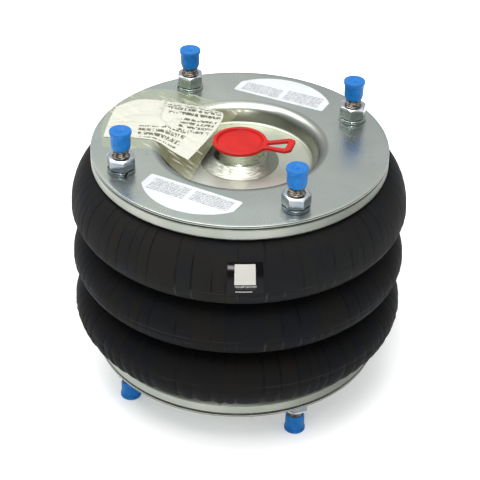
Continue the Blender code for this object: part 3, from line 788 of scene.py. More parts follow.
def clear_tape():
    """Yellowed clear tape: mostly see-through, glossy, with painted highlights as pale streaks on its
    crinkles.
    """
    tape = Finish("clear_tape", Roughness=0.14, Specular_IOR_Level=0.9)
    streaked = tape.vector(tape.x * 36.0 - tape.y * 16.0, tape.x * 130.0 + tape.y * 290.0, tape.z * 60.0)
    # Painted highlight: pale, more opaque streaks stand for light on the tape's crinkles.
    crinkle = tape.between(tape.noise(streaked, 1.0, 3.0), 0.56, 0.68)
    drawn = tape.vector(tape.x * 300.0 - tape.y * 130.0, tape.x * 60.0 + tape.y * 130.0, 0.0)
    fine = tape.noise(drawn, 1.0, 3.0)
    tape.set(Base_Color=tape.blend(crinkle * 0.7, (0.62, 0.62, 0.34), (0.95, 0.94, 0.84)))
    tape.set(Alpha=0.08 + crinkle * 0.14, Normal=tape.bump(fine, 0.00022))
    return tape.material


def glossy_film():
    """Glossy black film with a bare silver square and a row of fine silver marks under it."""
    film = Finish("label_foil", Specular_IOR_Level=0.12)
    u, v = film.flat()
    square = film.math("GREATER_THAN", u, 0.0052) * film.math("LESS_THAN", u, 0.0205)
    square = square * film.math("GREATER_THAN", v, 0.0012) * film.math("LESS_THAN", v, 0.0165)
    line = film.math("GREATER_THAN", u, 0.0060) * film.math("LESS_THAN", u, 0.0180)
    line = line * film.math("GREATER_THAN", v, 0.0222) * film.math("LESS_THAN", v, 0.0228)
    rows = printed_rows(film, u, v, 0.0028, (0.0056, 0.0210, 0.0170, 0.0200), 1500.0, 0.0)
    silver = film.math("MINIMUM", square + line + rows * 0.6, 1.0)
    film.set(Base_Color=film.blend(silver, (0.004, 0.004, 0.005), (0.50, 0.49, 0.45)))
    film.set(Roughness=0.13 + silver * 0.40, Metallic=silver * 0.25)
    return film.material


LABEL_WHITE = sticker_film()
LABEL_PAPER = label_paper()
CLEAR_TAPE = clear_tape()
LABEL_FOIL = glossy_film()
print("sheets:", LABEL_WHITE.name, LABEL_PAPER.name, CLEAR_TAPE.name, LABEL_FOIL.name)

# %% [markdown]
# ## Handing a piece over
#
# Each finished piece gets its material, rides the body that carries it, has its triangles counted and
# stands for the plain solids that it replaces.

# %% Hand over
TRIANGLES = {}


def hand_over(thing, material, body, nodes=()):
    """Finish a piece: its material, its body and the nodes that it replaces."""
    if material is not None:
        thing.data.materials.clear()
        thing.data.materials.append(material)
    if body is not None:
        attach(thing, body)
    if nodes:
        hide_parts(*nodes)
    TRIANGLES[thing.name] = sum(len(p.vertices) - 2 for p in thing.data.polygons)
    return thing


# %% [markdown]
# ## End plates
#
# Each plate was blanked from 3 mm sheet and pressed, so its dish runs into the flat land through a
# wide bend, and the same line shifted by the sheet's thickness makes the underside. A fine groove
# under the top edge gives the rim its dark line, which the finish paints darker still on the upper
# plate, as painted shade. The stud holes are cut with a Boolean, once.

# %% End plates
PLATE_AROUND = 240
MOUTH_BEND = 0.0085
FLOOR_BEND = 0.0032
STUD_RADIUS = 0.006


def plate_skin(hole_radius):
    """The plate's outer face, from the middle over the dish to the rim."""
    return bent([(hole_radius, DISH_FLOOR, 0), (0.0570, DISH_FLOOR, FLOOR_BEND), (0.0610, 0.0, MOUTH_BEND),
                 (RIM_RADIUS - 0.0030, 0.0, 0)], 9)


def plate_line(hole_radius):
    """The plate's section: its outer face, the rim's edge and the same line back underneath."""
    skin = plate_skin(hole_radius)
    edge = bent([(RIM_RADIUS - 0.0028, 0.0, 0), (RIM_RADIUS, 0.0, 0.0003), (RIM_RADIUS, -0.0006, 0.0001),
                 (RIM_RADIUS - 0.0004, -0.0008, 0.0001), (RIM_RADIUS, -0.0010, 0.0001),
                 (RIM_RADIUS, -SHEET, 0.0004), (RIM_RADIUS - 0.0030, -SHEET, 0)], 4)
    return skin + edge + shifted(skin, -SHEET)[::-1]


def drilled(mesh, name, side, radius, depth):
    """Cut the four stud holes."""
    circle, first, step = stud_place(side)
    drills = bmesh.new()
    for index in range(4):
        angle = first + step * index
        spot = (circle * math.cos(angle), circle * math.sin(angle), 0.0)
        made = bmesh.ops.create_cone(drills, cap_ends=True, segments=32, radius1=radius, radius2=radius,
                                     depth=depth)
        bmesh.ops.translate(drills, verts=made["verts"], vec=spot)
    plate = link(mesh, name)
    cutter_mesh = bpy.data.meshes.new(f"{name}_drills")
    drills.to_mesh(cutter_mesh)
    drills.free()
    cutter_mesh.transform(ENDS[side])
    cutter = link(cutter_mesh, f"{name}_drills")
    cut = plate.modifiers.new("holes", "BOOLEAN")
    cut.object = cutter
    cut.solver = "EXACT"
    return settled(plate, cutter)


def settled(thing, *helpers):
    """Turn a piece and its modifiers into a plain mesh, and remove the helpers."""
    evaluated = thing.evaluated_get(bpy.context.evaluated_depsgraph_get())
    mesh = bpy.data.meshes.new_from_object(evaluated)
    thing.modifiers.clear()
    thing.data = mesh
    mesh.name = thing.name
    for helper in helpers:
        bpy.data.objects.remove(helper, do_unlink=True)
    return thing


for side in ENDS:
    hole = 0.0163 if side == "upper" else 0.0
    mesh = turned(f"{side}_plate", plate_line(hole), PLATE_AROUND, None, ENDS[side])
    plate = drilled(mesh, f"{side}_plate", side, STUD_RADIUS + 0.0003, 0.02)
    hand_over(plate, ZINC_SHEET, f"{side}_end", [f"{side}_end_plate"])
print("plates:", TRIANGLES)

# %% [markdown]
# ## Clamp rings
#
# A clamp ring is a rolled and machined hoop of steel. Its outer face has a shallow line near the
# lower edge, and below that line the band shows a butt joint. Its bore tapers to grip the rubber's bead.

# %% Clamp rings
RING_AROUND = 300
LIP_BEVEL = 0.0026
JOINT_ANGLE = math.radians(-69.4)
JOINT_WIDTH = 0.0006
BORE_TOP = RIM_RADIUS - 0.0262
BORE_FOOT = BORE_TOP - 0.0035


def ring_line():
    """The ring's section: straight outside, a fine turned line, and a bevelled lip."""
    lip = RING_FACE + LIP_BEVEL
    return bent([
        (BORE_TOP, RING_TOP, 0), (RIM_RADIUS, RING_TOP, 0.0009), (RIM_RADIUS, lip + 0.0005, 0.0002),
        (RIM_RADIUS - 0.0003, lip + 0.0003, 0.0001), (RIM_RADIUS - 0.0001, lip, 0.0002),
        (RIM_RADIUS - LIP_BEVEL, RING_FACE, 0.0010), (BORE_FOOT, RING_FACE, 0),
    ], 4)


def joint_notch(angle_of_joint):
    """Press a narrow upright line into the lower band, where the rolled ring's ends meet."""
    def reshape(radius, angle, height):
        away = abs(math.remainder(angle - angle_of_joint, math.tau)) * radius
        deep = radius > BORE_TOP + 0.02 and height < RING_FACE + LIP_BEVEL and away < JOINT_WIDTH
        return (radius - 0.0005 if deep else radius), height
    return reshape


for side in ENDS:
    turn = JOINT_ANGLE if side == "upper" else -JOINT_ANGLE + math.radians(7)
    mesh = turned(f"{side}_ring", ring_line(), RING_AROUND * 2, joint_notch(turn), ENDS[side])
    ring = drilled(mesh, f"{side}_ring", side, STUD_RADIUS + 0.0003, 0.05)
    hand_over(ring, ZINC_RING, f"{side}_end", [f"{side}_clamp_ring"])
print("rings:", TRIANGLES["upper_ring"])

# %% [markdown]
# ## A tree that repeats a fastener round the stud circle
#
# Studs, washers and nuts come in fours. Each is modelled once, on the axis, and a Geometry Nodes tree
# puts the copies in place: a few points, moved to the circle by their index, carry one instance each.
# The turn of each copy also follows its index, because nuts never stop at the same angle.

# %% Stud circle tree
def new_tree(name, sockets):
    """A geometry tree with its input and output nodes, and named inputs."""
    tree = bpy.data.node_groups.new(name, "GeometryNodeTree")
    tree.interface.new_socket("Geometry", in_out="INPUT", socket_type="NodeSocketGeometry")
    tree.interface.new_socket("Geometry", in_out="OUTPUT", socket_type="NodeSocketGeometry")
    for label, kind in sockets:
        tree.interface.new_socket(label, in_out="INPUT", socket_type=f"NodeSocket{kind}")
    board = Board(tree)
    entry = board.add("NodeGroupInput")
    return board, entry


def finish_tree(board, geometry, entry):
    """End a tree: real geometry, with its material."""
    real = board.add("GeometryNodeRealizeInstances", None, {"Geometry": geometry})
    painted = board.add("GeometryNodeSetMaterial", None,
                        {"Geometry": real.outputs[0], "Material": entry.outputs["Material"]})
    exit_node = board.add("NodeGroupOutput")
    board.tree.links.new(painted.outputs[0], exit_node.inputs[0])
    return board.tree


def stud_circle_tree():
    board, entry = new_tree("round_the_stud_circle", [
        ("Copies", "Int"), ("Circle Radius", "Float"), ("First Angle", "Float"), ("Step Angle", "Float"),
        ("First Turn", "Float"), ("Step Turn", "Float"), ("Material", "Material"),
    ])
    given = {socket.name: Number(board, socket) for socket in entry.outputs if socket.name}
    index = board.number("GeometryNodeInputIndex")
    angle = given["First Angle"] + given["Step Angle"] * index
    spot = board.vector(board.math("COSINE", angle) * given["Circle Radius"],
                        board.math("SINE", angle) * given["Circle Radius"], 0.0)
    points = board.add("GeometryNodePoints", None, {"Count": given["Copies"], "Position": spot})
    turn = board.vector(0.0, 0.0, given["First Turn"] + given["Step Turn"] * index)
    copies = board.add("GeometryNodeInstanceOnPoints", None, {
        "Points": points.outputs[0], "Instance": entry.outputs["Geometry"], "Rotation": turn,
    })
    return finish_tree(board, copies.outputs[0], entry)


STUD_CIRCLE_TREE = stud_circle_tree()


def tree_inputs(tree):
    """The names of a tree's inputs, and the identifier that a modifier knows each by."""
    return {item.name: item.identifier for item in tree.interface.items_tree if item.in_out == "INPUT"}


def run_tree(thing, tree, values):
    """Give a piece a tree with its inputs, and turn the result into a plain mesh."""
    run = thing.modifiers.new(tree.name, "NODES")
    run.node_group = tree
    identifiers = tree_inputs(tree)
    for label, value in values.items():
        run[identifiers[label]] = value
    thing.update_tag()
    return settled(thing)


def round_the_circle(name, mesh, side, material, first=0, copies=4, first_turn=0.0, step_turn=0.0):
    """Copies of a mesh at an end's studs, as one piece in its place."""
    circle, start, step = stud_place(side)
    thing = link(mesh, name)
    run_tree(thing, STUD_CIRCLE_TREE, {
        "Copies": copies, "Circle Radius": circle, "First Angle": start + step * first, "Step Angle": step,
        "First Turn": first_turn, "Step Turn": step_turn, "Material": material,
    })
    thing.data.transform(ENDS[side])
    return thing


print("tree inputs:", ", ".join(tree_inputs(STUD_CIRCLE_TREE)))

# %% [markdown]
# ## Studs with rolled threads
#
# An M12 thread climbs 1.75 mm in a turn. The stud is turned from a straight line, and each point is
# then pulled in by a wave whose phase is the height in pitches minus the angle in turns, which is what
# makes a helix. The chamfer wins where it is lower than the thread.

# %% Studs
PITCH = 0.00175
THREAD_DEPTH = 0.00095
THREAD_FOOT = 0.0118
STUD_TIP = reach("upper_stud_1")[1]
TIP_CHAMFER = 0.0012
HEAD_RADIUS = 0.009
HEAD_TOP = RING_FACE + 0.0033


def thread_depth_at(height, angle):
    """0 on the thread's crest and 1 in its root, with narrow flats on both."""
    phase = (height / PITCH - angle / math.tau) % 1.0
    slope = abs(2.0 * phase - 1.0)
    return min(max((slope - 0.12) / 0.72, 0.0), 1.0)


def rolled(radius, angle, height):
    """Pull a stud's shank in to its thread."""
    on_shank = 0.0 < radius <= STUD_RADIUS + 0.00001
    if not on_shank or height < THREAD_FOOT:
        return radius, height
    return min(radius, STUD_RADIUS - THREAD_DEPTH * thread_depth_at(height, angle)), height


def stud_mesh():
    rows = int((STUD_TIP - TIP_CHAMFER - THREAD_FOOT) / PITCH * 10)
    step = (STUD_TIP - TIP_CHAMFER - THREAD_FOOT) / rows
    line = [(0.0, STUD_TIP), (STUD_RADIUS - TIP_CHAMFER, STUD_TIP)]
    line += [(STUD_RADIUS - TIP_CHAMFER * (1 - n / 6), STUD_TIP - TIP_CHAMFER * n / 6) for n in range(1, 6)]
    line += [(STUD_RADIUS, STUD_TIP - TIP_CHAMFER - step * row) for row in range(rows + 1)]
    line += [(STUD_RADIUS, HEAD_TOP), (HEAD_RADIUS, HEAD_TOP), (HEAD_RADIUS, RING_FACE + 0.0003)]
    line.append((0.0, RING_FACE + 0.0003))
    return turned("stud", line, 40, rolled)


def fastener_nodes(side, kind):
    return [f"{side}_{kind}_{n}" for n in range(1, 5)]


for side in ENDS:
    studs = round_the_circle(f"{side}_studs", stud_mesh(), side, STUD_STEEL)
    hand_over(studs, None, f"{side}_end", fastener_nodes(side, "stud"))
print("studs:", TRIANGLES["upper_studs"])

# %% [markdown]
# ## Nuts
#
# A nut's chamfer is a cone, so it cuts each flat in an arch. Turning the nut's line and then pulling
# each outer point in to the hexagon, with its height on the cone, gives that arch exactly. A bevel then
# rounds the edges. No two nuts stop at the same angle, so each is turned a little more than the last.

# %% Nuts
ACROSS_FLATS = 0.019
NUT_FOOT, NUT_TOP = reach("upper_nut_1")
NUT_FACE_RADIUS = ACROSS_FLATS / 2 * 0.95
NUT_BORE = STUD_RADIUS + 0.0001
CHAMFER_SLOPE = math.tan(math.radians(30))
NUT_TURN = math.radians(8)
NUT_TURN_STEP = math.radians(13.2)


def hexagonal(radius, angle, height):
    """Bring the nut's outer points in to its flats, with their height on the chamfer cone."""
    if radius < NUT_FACE_RADIUS + 0.0001:
        return radius, height
    from_flat = (angle + math.pi / 6) % (math.pi / 3) - math.pi / 6
    reach = ACROSS_FLATS / 2 / math.cos(from_flat)
    drop = (reach - NUT_FACE_RADIUS) * CHAMFER_SLOPE
    return reach, NUT_TOP - drop if height > (NUT_TOP + NUT_FOOT) / 2 else NUT_FOOT + drop


def nut_mesh():
    outer = ACROSS_FLATS
    sink = 0.0008
    line = [
        (NUT_BORE, NUT_TOP - sink), (NUT_BORE + sink, NUT_TOP), (NUT_FACE_RADIUS, NUT_TOP), (outer, NUT_TOP),
        (outer, NUT_FOOT), (NUT_FACE_RADIUS, NUT_FOOT), (NUT_BORE + sink, NUT_FOOT),
        (NUT_BORE, NUT_FOOT + sink),
    ]
    thing = link(turned("nut", line, 96, hexagonal), "nut")
    soften = thing.modifiers.new("soften", "BEVEL")
    soften.width = 0.00042
    soften.segments = 3
    soften.limit_method = "ANGLE"
    soften.angle_limit = math.radians(22)
    mesh = settled(thing).data
    bpy.data.objects.remove(thing, do_unlink=True)
    mesh.shade_smooth()
    mesh.set_sharp_from_angle(angle=SMOOTH_ANGLE)
    return mesh


for side in ENDS:
    nuts = round_the_circle(f"{side}_nuts", nut_mesh(), side, ZINC_FASTENER,
                            first_turn=NUT_TURN, step_turn=NUT_TURN_STEP)
    hand_over(nuts, None, f"{side}_end", fastener_nodes(side, "nut"))
print("nuts:", TRIANGLES["upper_nuts"])

# %% [markdown]
# ## Split washers
#
# A split washer is a square wire bent into one turn, cut at a slant, and left with a little spring in
# it. A turned ring has no ends, so the wire's section is carried round point by point, from one end of
# the cut to the other, and closed with a face at each.

# %% Split washers
WASHER_INNER = 0.0063
WASHER_OUTER = 0.0105
WASHER_FOOT, WASHER_TOP = reach("upper_lock_washer_1")
SPLIT_HALF = 0.0009
SPLIT_LEAN = math.tan(math.radians(26))
SPRING_RISE = 0.00022
SPLIT_PLACE = math.radians(88)


def washer_mesh():
    """A square wire bent round once, with slanted ends a little apart."""
    shape = bmesh.new()
    corners = [(WASHER_INNER, WASHER_TOP, 0.0003), (WASHER_OUTER, WASHER_TOP, 0.0005),
               (WASHER_OUTER, WASHER_FOOT, 0.0005), (WASHER_INNER, WASHER_FOOT, 0.0003)]
    section = bent(corners, 3, closed=True)
    steps = 72
    mid_height = (WASHER_TOP + WASHER_FOOT) / 2
    rings = []
    for step in range(steps + 1):
        share = step / steps
        ring = []
        for radius, height in section:
            half_gap = SPLIT_HALF / radius
            lean = SPLIT_LEAN * (height - mid_height) / radius
            angle = half_gap + (math.tau - 2 * half_gap) * share + lean
            lift = SPRING_RISE * (share - 0.5) * (0.4 if height < mid_height else 1.0)
            spot = (radius * math.cos(angle), radius * math.sin(angle), height + lift)
            ring.append(shape.verts.new(spot))
        rings.append(ring)
    count = len(section)
    for one, other in zip(rings, rings[1:]):
        for n in range(count):
            m = (n + 1) % count
            shape.faces.new((one[n], one[m], other[m], other[n]))
    shape.faces.new(rings[0])
    shape.faces.new(rings[-1][::-1])
    return tidied(shape, "washer")


for side in ENDS:
    _, start, step = stud_place(side)
    washers = round_the_circle(f"{side}_lock_washers", washer_mesh(), side, ZINC_FASTENER,
                               first_turn=start + SPLIT_PLACE, step_turn=step)
    hand_over(washers, None, f"{side}_end", fastener_nodes(side, "lock_washer"))
print("washers:", TRIANGLES["upper_lock_washers"])

# %% [markdown]
# ## Thread caps
#
# The blue caps are soft mouldings, pushed on by hand. They have a flared crown with the gate's scar in
# a shallow dimple, and thin walls that the thread pushes out of round. Smooth noise on the radius,
# with another sample for each cap, gives every one its own dents.

# %% Thread caps
CAP_FOOT, CAP_TOP = reach("upper_thread_cap_1")
CAP_BORE = 0.0063


def cap_mesh(seed):
    """A cap with its own small dents."""
    line = bent([
        (0.0, CAP_TOP - 0.0005, 0), (0.0009, CAP_TOP - 0.0005, 0.0002), (0.0012, CAP_TOP - 0.0011, 0.0002),
        (0.0026, CAP_TOP - 0.0010, 0.0004), (0.0042, CAP_TOP - 0.0003, 0.0010), (0.0084, CAP_TOP, 0.0006),
        (0.0084, CAP_TOP - 0.0024, 0.0008), (0.0077, CAP_TOP - 0.0034, 0.0010),
        (0.0076, CAP_FOOT + 0.0032, 0.0015), (0.0069, CAP_FOOT, 0.0003), (CAP_BORE, CAP_FOOT, 0.0002),
        (CAP_BORE, CAP_TOP - 0.0019, 0), (0.0, CAP_TOP - 0.0019, 0),
    ], 5)

    def dented(radius, angle, height):
        if radius < 0.003:
            return radius, height
        spot = Vector((math.cos(angle) * 1.4, math.sin(angle) * 1.4, height * 160.0 + seed * 9.0))
        dent = noise.noise(spot)
        room = 0.00022 * min((radius - 0.003) / 0.004, 1.0)
        return radius + room * (dent - 0.5), height
    return turned("cap", line, 64, dented)


for n in range(1, 5):
    cap = round_the_circle(f"upper_cap_{n}", cap_mesh(n), "upper", BLUE_PLASTIC,
                           first=n - 1, copies=1, first_turn=n * 1.3)
    hand_over(cap, None, f"upper_cap_{n}", [f"upper_thread_cap_{n}"])
lower_caps = round_the_circle("lower_caps", cap_mesh(7), "lower", BLUE_PLASTIC, step_turn=1.3)
hand_over(lower_caps, None, "lower_end", fastener_nodes("lower", "thread_cap"))
print("caps:", TRIANGLES["upper_cap_1"])

# %% [markdown]
# ## Air port
#
# The port is a threaded boss, set through the plate and welded, with a wide fillet at its foot. Its bore
# carries the pipe thread, made like the studs' thread but cut outwards.

# %% Port boss
BOSS_RADIUS = 0.01875
BOSS_BORE = 0.0121
BOSS_FOOT, BOSS_TOP = reach("port_boss")
WELD_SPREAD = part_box("port_boss")[1].x - BOSS_RADIUS
WELD_HEIGHT = 0.0078
WELD_KNEE = (0.0004, 0.0026)
WELD_STEPS = 14
PIPE_PITCH = 0.0018
PIPE_DEPTH = 0.0007


def tapped(radius, angle, height):
    """Cut the pipe thread outwards into the bore."""
    if radius > BOSS_BORE + 0.00001 or height > BOSS_TOP - 0.0015:
        return radius, height
    slope = abs(2.0 * ((height / PIPE_PITCH - angle / math.tau) % 1.0) - 1.0)
    return radius + PIPE_DEPTH * slope, height


def boss_line():
    floor = DISH_FLOOR + GAP
    outside = bent([(BOSS_BORE, BOSS_TOP - 0.0012, 0), (BOSS_BORE + 0.0012, BOSS_TOP, 0.0002),
                    (BOSS_RADIUS, BOSS_TOP, 0.0007), (BOSS_RADIUS, floor + WELD_HEIGHT, 0)], 5)
    out, up = WELD_KNEE
    for step in range(1, WELD_STEPS + 1):
        t = step / WELD_STEPS
        outside.append((BOSS_RADIUS + 2 * out * t * (1 - t) + WELD_SPREAD * t * t,
                        floor + WELD_HEIGHT * (1 - t) ** 2 + 2 * up * t * (1 - t)))
    outside += [(BOSS_RADIUS + WELD_SPREAD, DISH_FLOOR + 0.0001), (0.0160, DISH_FLOOR), (0.0160, BOSS_FOOT),
                (BOSS_BORE, BOSS_FOOT)]
    rows = int((BOSS_TOP - 0.0015 - BOSS_FOOT) / PIPE_PITCH * 8)
    rise = (BOSS_TOP - 0.0012 - BOSS_FOOT) / rows
    return outside + [(BOSS_BORE, BOSS_FOOT + rise * row) for row in range(1, rows)]


boss = link(turned("air_port", boss_line(), 128, tapped, ENDS["upper"]), "air_port")
hand_over(boss, PORT_STEEL, "upper_end", ["port_boss"])
print("port:", TRIANGLES["air_port"])

# %% [markdown]
# ## Pull plug
#
# The red plug is one moulding: a disc with a raised rim, a hollow skirt in the bore, and a stirrup
# tab to pull it by. The disc and skirt are turned. The tab is a flat curve with a window and rounded
# edges, tilted up a little, and a Boolean joins the two.

# %% Pull plug
DISC_FOOT = BOSS_TOP + GAP
DISC_RADIUS = 0.0210
PLUG_TURN = math.radians(4.5)
TAB_TILT = math.radians(8)
TAB_THICKNESS = 0.0028
TAB_ROUND = 0.0008
TAB_REACH = 0.0215


def plug_line():
    face = DISC_FOOT + 0.0014
    rim = DISC_FOOT + 0.0028
    return bent([
        (0.0, face - 0.0002, 0), (0.0090, face, 0.0200), (DISC_RADIUS - 0.0052, face, 0.0010),
        (DISC_RADIUS - 0.0037, face - 0.0007, 0.0004), (DISC_RADIUS - 0.0029, rim, 0.0010),
        (DISC_RADIUS, rim, 0.0012), (DISC_RADIUS, DISC_FOOT, 0.0005), (0.01170, DISC_FOOT, 0.0004),
        (0.01135, DISC_FOOT - 0.009, 0.0004), (0.00995, DISC_FOOT - 0.009, 0.0004),
        (0.01020, DISC_FOOT, 0.0005), (0.0, DISC_FOOT, 0),
    ], 5)


def tab_curve():
    """The stirrup: two ribs that spread towards a broader bar, drawn about the disc's edge."""
    curve = bpy.data.curves.new("tab", "CURVE")
    curve.dimensions = "2D"
    curve.fill_mode = "BOTH"
    curve.bevel_depth = TAB_ROUND
    curve.bevel_resolution = 3
    curve.offset = -TAB_ROUND
    curve.extrude = TAB_THICKNESS / 2 - TAB_ROUND
    half = [(-0.0035, -0.0086, 0), (0.0014, -0.0056, 0.0040), (0.0165, -0.0101, 0.0030),
            (TAB_REACH, -0.0072, 0.0026)]
    outer = half + [(x, -y, bend) for x, y, bend in half[::-1]]
    half = [(0.0008, -0.0019, 0.0012), (0.0163, -0.0058, 0.0014)]
    window = half + [(x, -y, bend) for x, y, bend in half[::-1]]
    for corners, closed in ((outer, False), (window, True)):
        line = bent(corners, 6, closed)
        spline = curve.splines.new("POLY")
        spline.points.add(len(line) - 1)
        for point, (x, y) in zip(spline.points, line):
            point.co = (x, y, 0.0, 1.0)
        spline.use_cyclic_u = True
    return curve


def tab_mesh():
    drawn = link(tab_curve(), "tab_drawn")
    evaluated = drawn.evaluated_get(bpy.context.evaluated_depsgraph_get())
    flat = bpy.data.meshes.new_from_object(evaluated)
    bpy.data.objects.remove(drawn, do_unlink=True)
    shape = bmesh.new()
    shape.from_mesh(flat)
    rise = Matrix.Translation((DISC_RADIUS, 0.0, DISC_FOOT + TAB_THICKNESS / 2 + 0.0003))
    return tidied(shape, "tab", rise @ Matrix.Rotation(-TAB_TILT, 4, "Y"))


def pull_plug():
    plug = link(turned("pull_plug", plug_line(), 128), "pull_plug")
    tab = link(tab_mesh(), "tab")
    join = plug.modifiers.new("tab", "BOOLEAN")
    join.operation = "UNION"
    join.solver = "EXACT"
    join.object = tab
    settled(plug, tab)
    plug.data.transform(ENDS["upper"] @ Matrix.Rotation(PLUG_TURN, 4, "Z"))
    plug.data.shade_smooth()
    plug.data.set_sharp_from_angle(angle=SMOOTH_ANGLE)
    return plug


hand_over(pull_plug(), RED_PLASTIC, "plug", ["port_plug"])
print("plug:", TRIANGLES["pull_plug"])

# %% [markdown]
# ## Rubber folds
#
# The bellows is one moulding, but it stretches in three places, so it is made as three pieces that
# meet behind the girdle hoops. Each section is a closed line: the bead or the valley, the full belly,
# and the lining inside. A Geometry Nodes tree sweeps the section round a circle and then presses the
# bands into it, deepest low on the lowest fold, where the rubber lies on its ring.

# %% Fold sections
HOOP_Z = {side: middle(f"{side}_girdle_hoop").z for side in ENDS}
WIRE_RADIUS = (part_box("upper_girdle_hoop")[1].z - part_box("upper_girdle_hoop")[0].z) / 2
HOOP_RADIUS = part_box("upper_girdle_hoop")[1].x - WIRE_RADIUS
BELLY_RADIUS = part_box("rubber_bellows")[1].x
WALL = 0.006
GROOVE = WIRE_RADIUS + 0.0003
GROOVE_EDGE = math.radians(60)
SHOULDER = RIM_RADIUS - 0.0065
VALLEY_EDGE = HOOP_RADIUS + GROOVE + 0.0030
ROUNDNESS = 1.95
RIDGE_AT = math.radians(84)
RIDGE = 0.00024
UPPER_SEAT = UPPER_FACE + RING_FACE - 0.0003
LOWER_SEAT = LOWER_FACE - RING_FACE + 0.0003


def belly(top, bottom, sag, crest, steps, ridge=0.0):
    """A fold's line from top to bottom, a power curve that is fullest a little below the middle."""
    widest = (top[1] + bottom[1]) / 2 - sag
    power = 2.0 / ROUNDNESS
    angles = {math.pi / 2 * step / steps: 0.0 for step in range(steps + 1)}
    line = []
    for angle in sorted(angles):
        out, up = math.sin(angle) ** power, max(math.cos(angle), 0.0) ** power
        line.append((top[0] + (crest - top[0]) * out, widest + (top[1] - widest) * up))
    if ridge:
        angles.update({RIDGE_AT - 0.012: 0.0, RIDGE_AT: ridge, RIDGE_AT + 0.012: 0.0})
    for angle in sorted(angles, reverse=True)[1:]:
        out, down = math.sin(angle) ** power, max(math.cos(angle), 0.0) ** power
        lift = angles[angle]
        radius = bottom[0] + (crest - bottom[0]) * out + lift
        line.append((radius, widest + (bottom[1] - widest) * down - lift))
    return line


def round_the_hoop(hoop_z, radius, start, end, steps):
    """An arc round a hoop's inner side."""
    angles = [start + (end - start) * step / steps for step in range(steps + 1)]
    return [(HOOP_RADIUS + radius * math.cos(a), hoop_z + radius * math.sin(a)) for a in angles]


def fold_section(upper_hoop, lower_hoop, sag):
    """A closed section as (radius, height, outside) points. No hoop means the end's bead."""
    lining = WALL + GROOVE
    upper_bead = UPPER_FACE + RING_TOP - 0.0001
    lower_bead = LOWER_FACE - RING_TOP + 0.0001
    bead_inside = BORE_TOP - 0.0123
    outside, inside = [], []
    if upper_hoop is None:
        outside += [(BORE_TOP - 0.0003, upper_bead), (BORE_FOOT - 0.0003, UPPER_SEAT)]
        inside += [(bead_inside, upper_bead), (bead_inside, UPPER_SEAT - WALL)]
        top, lining_top = (SHOULDER, UPPER_SEAT), (SHOULDER, UPPER_SEAT - WALL)
    else:
        outside += round_the_hoop(upper_hoop, GROOVE, math.pi, math.tau - GROOVE_EDGE, 8)
        inside += round_the_hoop(upper_hoop, lining, math.pi, math.tau - math.pi / 2, 5)[:-1]
        top, lining_top = (VALLEY_EDGE, upper_hoop - 0.0015), (HOOP_RADIUS, upper_hoop - lining)
    if lower_hoop is None:
        bottom, lining_bottom = (SHOULDER, LOWER_SEAT), (SHOULDER, LOWER_SEAT + WALL)
        tail = [(BORE_FOOT - 0.0003, LOWER_SEAT), (BORE_TOP - 0.0003, lower_bead)]
        lining_tail = [(bead_inside, LOWER_SEAT + WALL), (bead_inside, lower_bead)]
    else:
        bottom, lining_bottom = (VALLEY_EDGE, lower_hoop + 0.0015), (HOOP_RADIUS, lower_hoop + lining)
        tail = round_the_hoop(lower_hoop, GROOVE, GROOVE_EDGE, math.pi, 8)
        lining_tail = round_the_hoop(lower_hoop, lining, math.pi / 2, math.pi, 5)[1:]
    outside += belly(top, bottom, sag, BELLY_RADIUS - RIDGE, 22, RIDGE) + tail
    inside += belly(lining_top, lining_bottom, sag, BELLY_RADIUS - WALL, 8) + lining_tail
    return [(*point, 1.0) for point in outside] + [(*point, 0.0) for point in inside[::-1]]


print("a fold's section:", len(fold_section(HOOP_Z["upper"], HOOP_Z["lower"], 0.0)), "points")

# %% [markdown]
# ## A tree that sweeps a fold
#
# Curve to Mesh carries the section round a circle, and Set Position then presses the bands in. Each
# band swells to a hump between two creases, and a random share for each keeps them uneven. Only points
# that are marked as outside move, so the lining stays smooth.

# %% Fold tree
SWEEP_RADIUS = 0.1


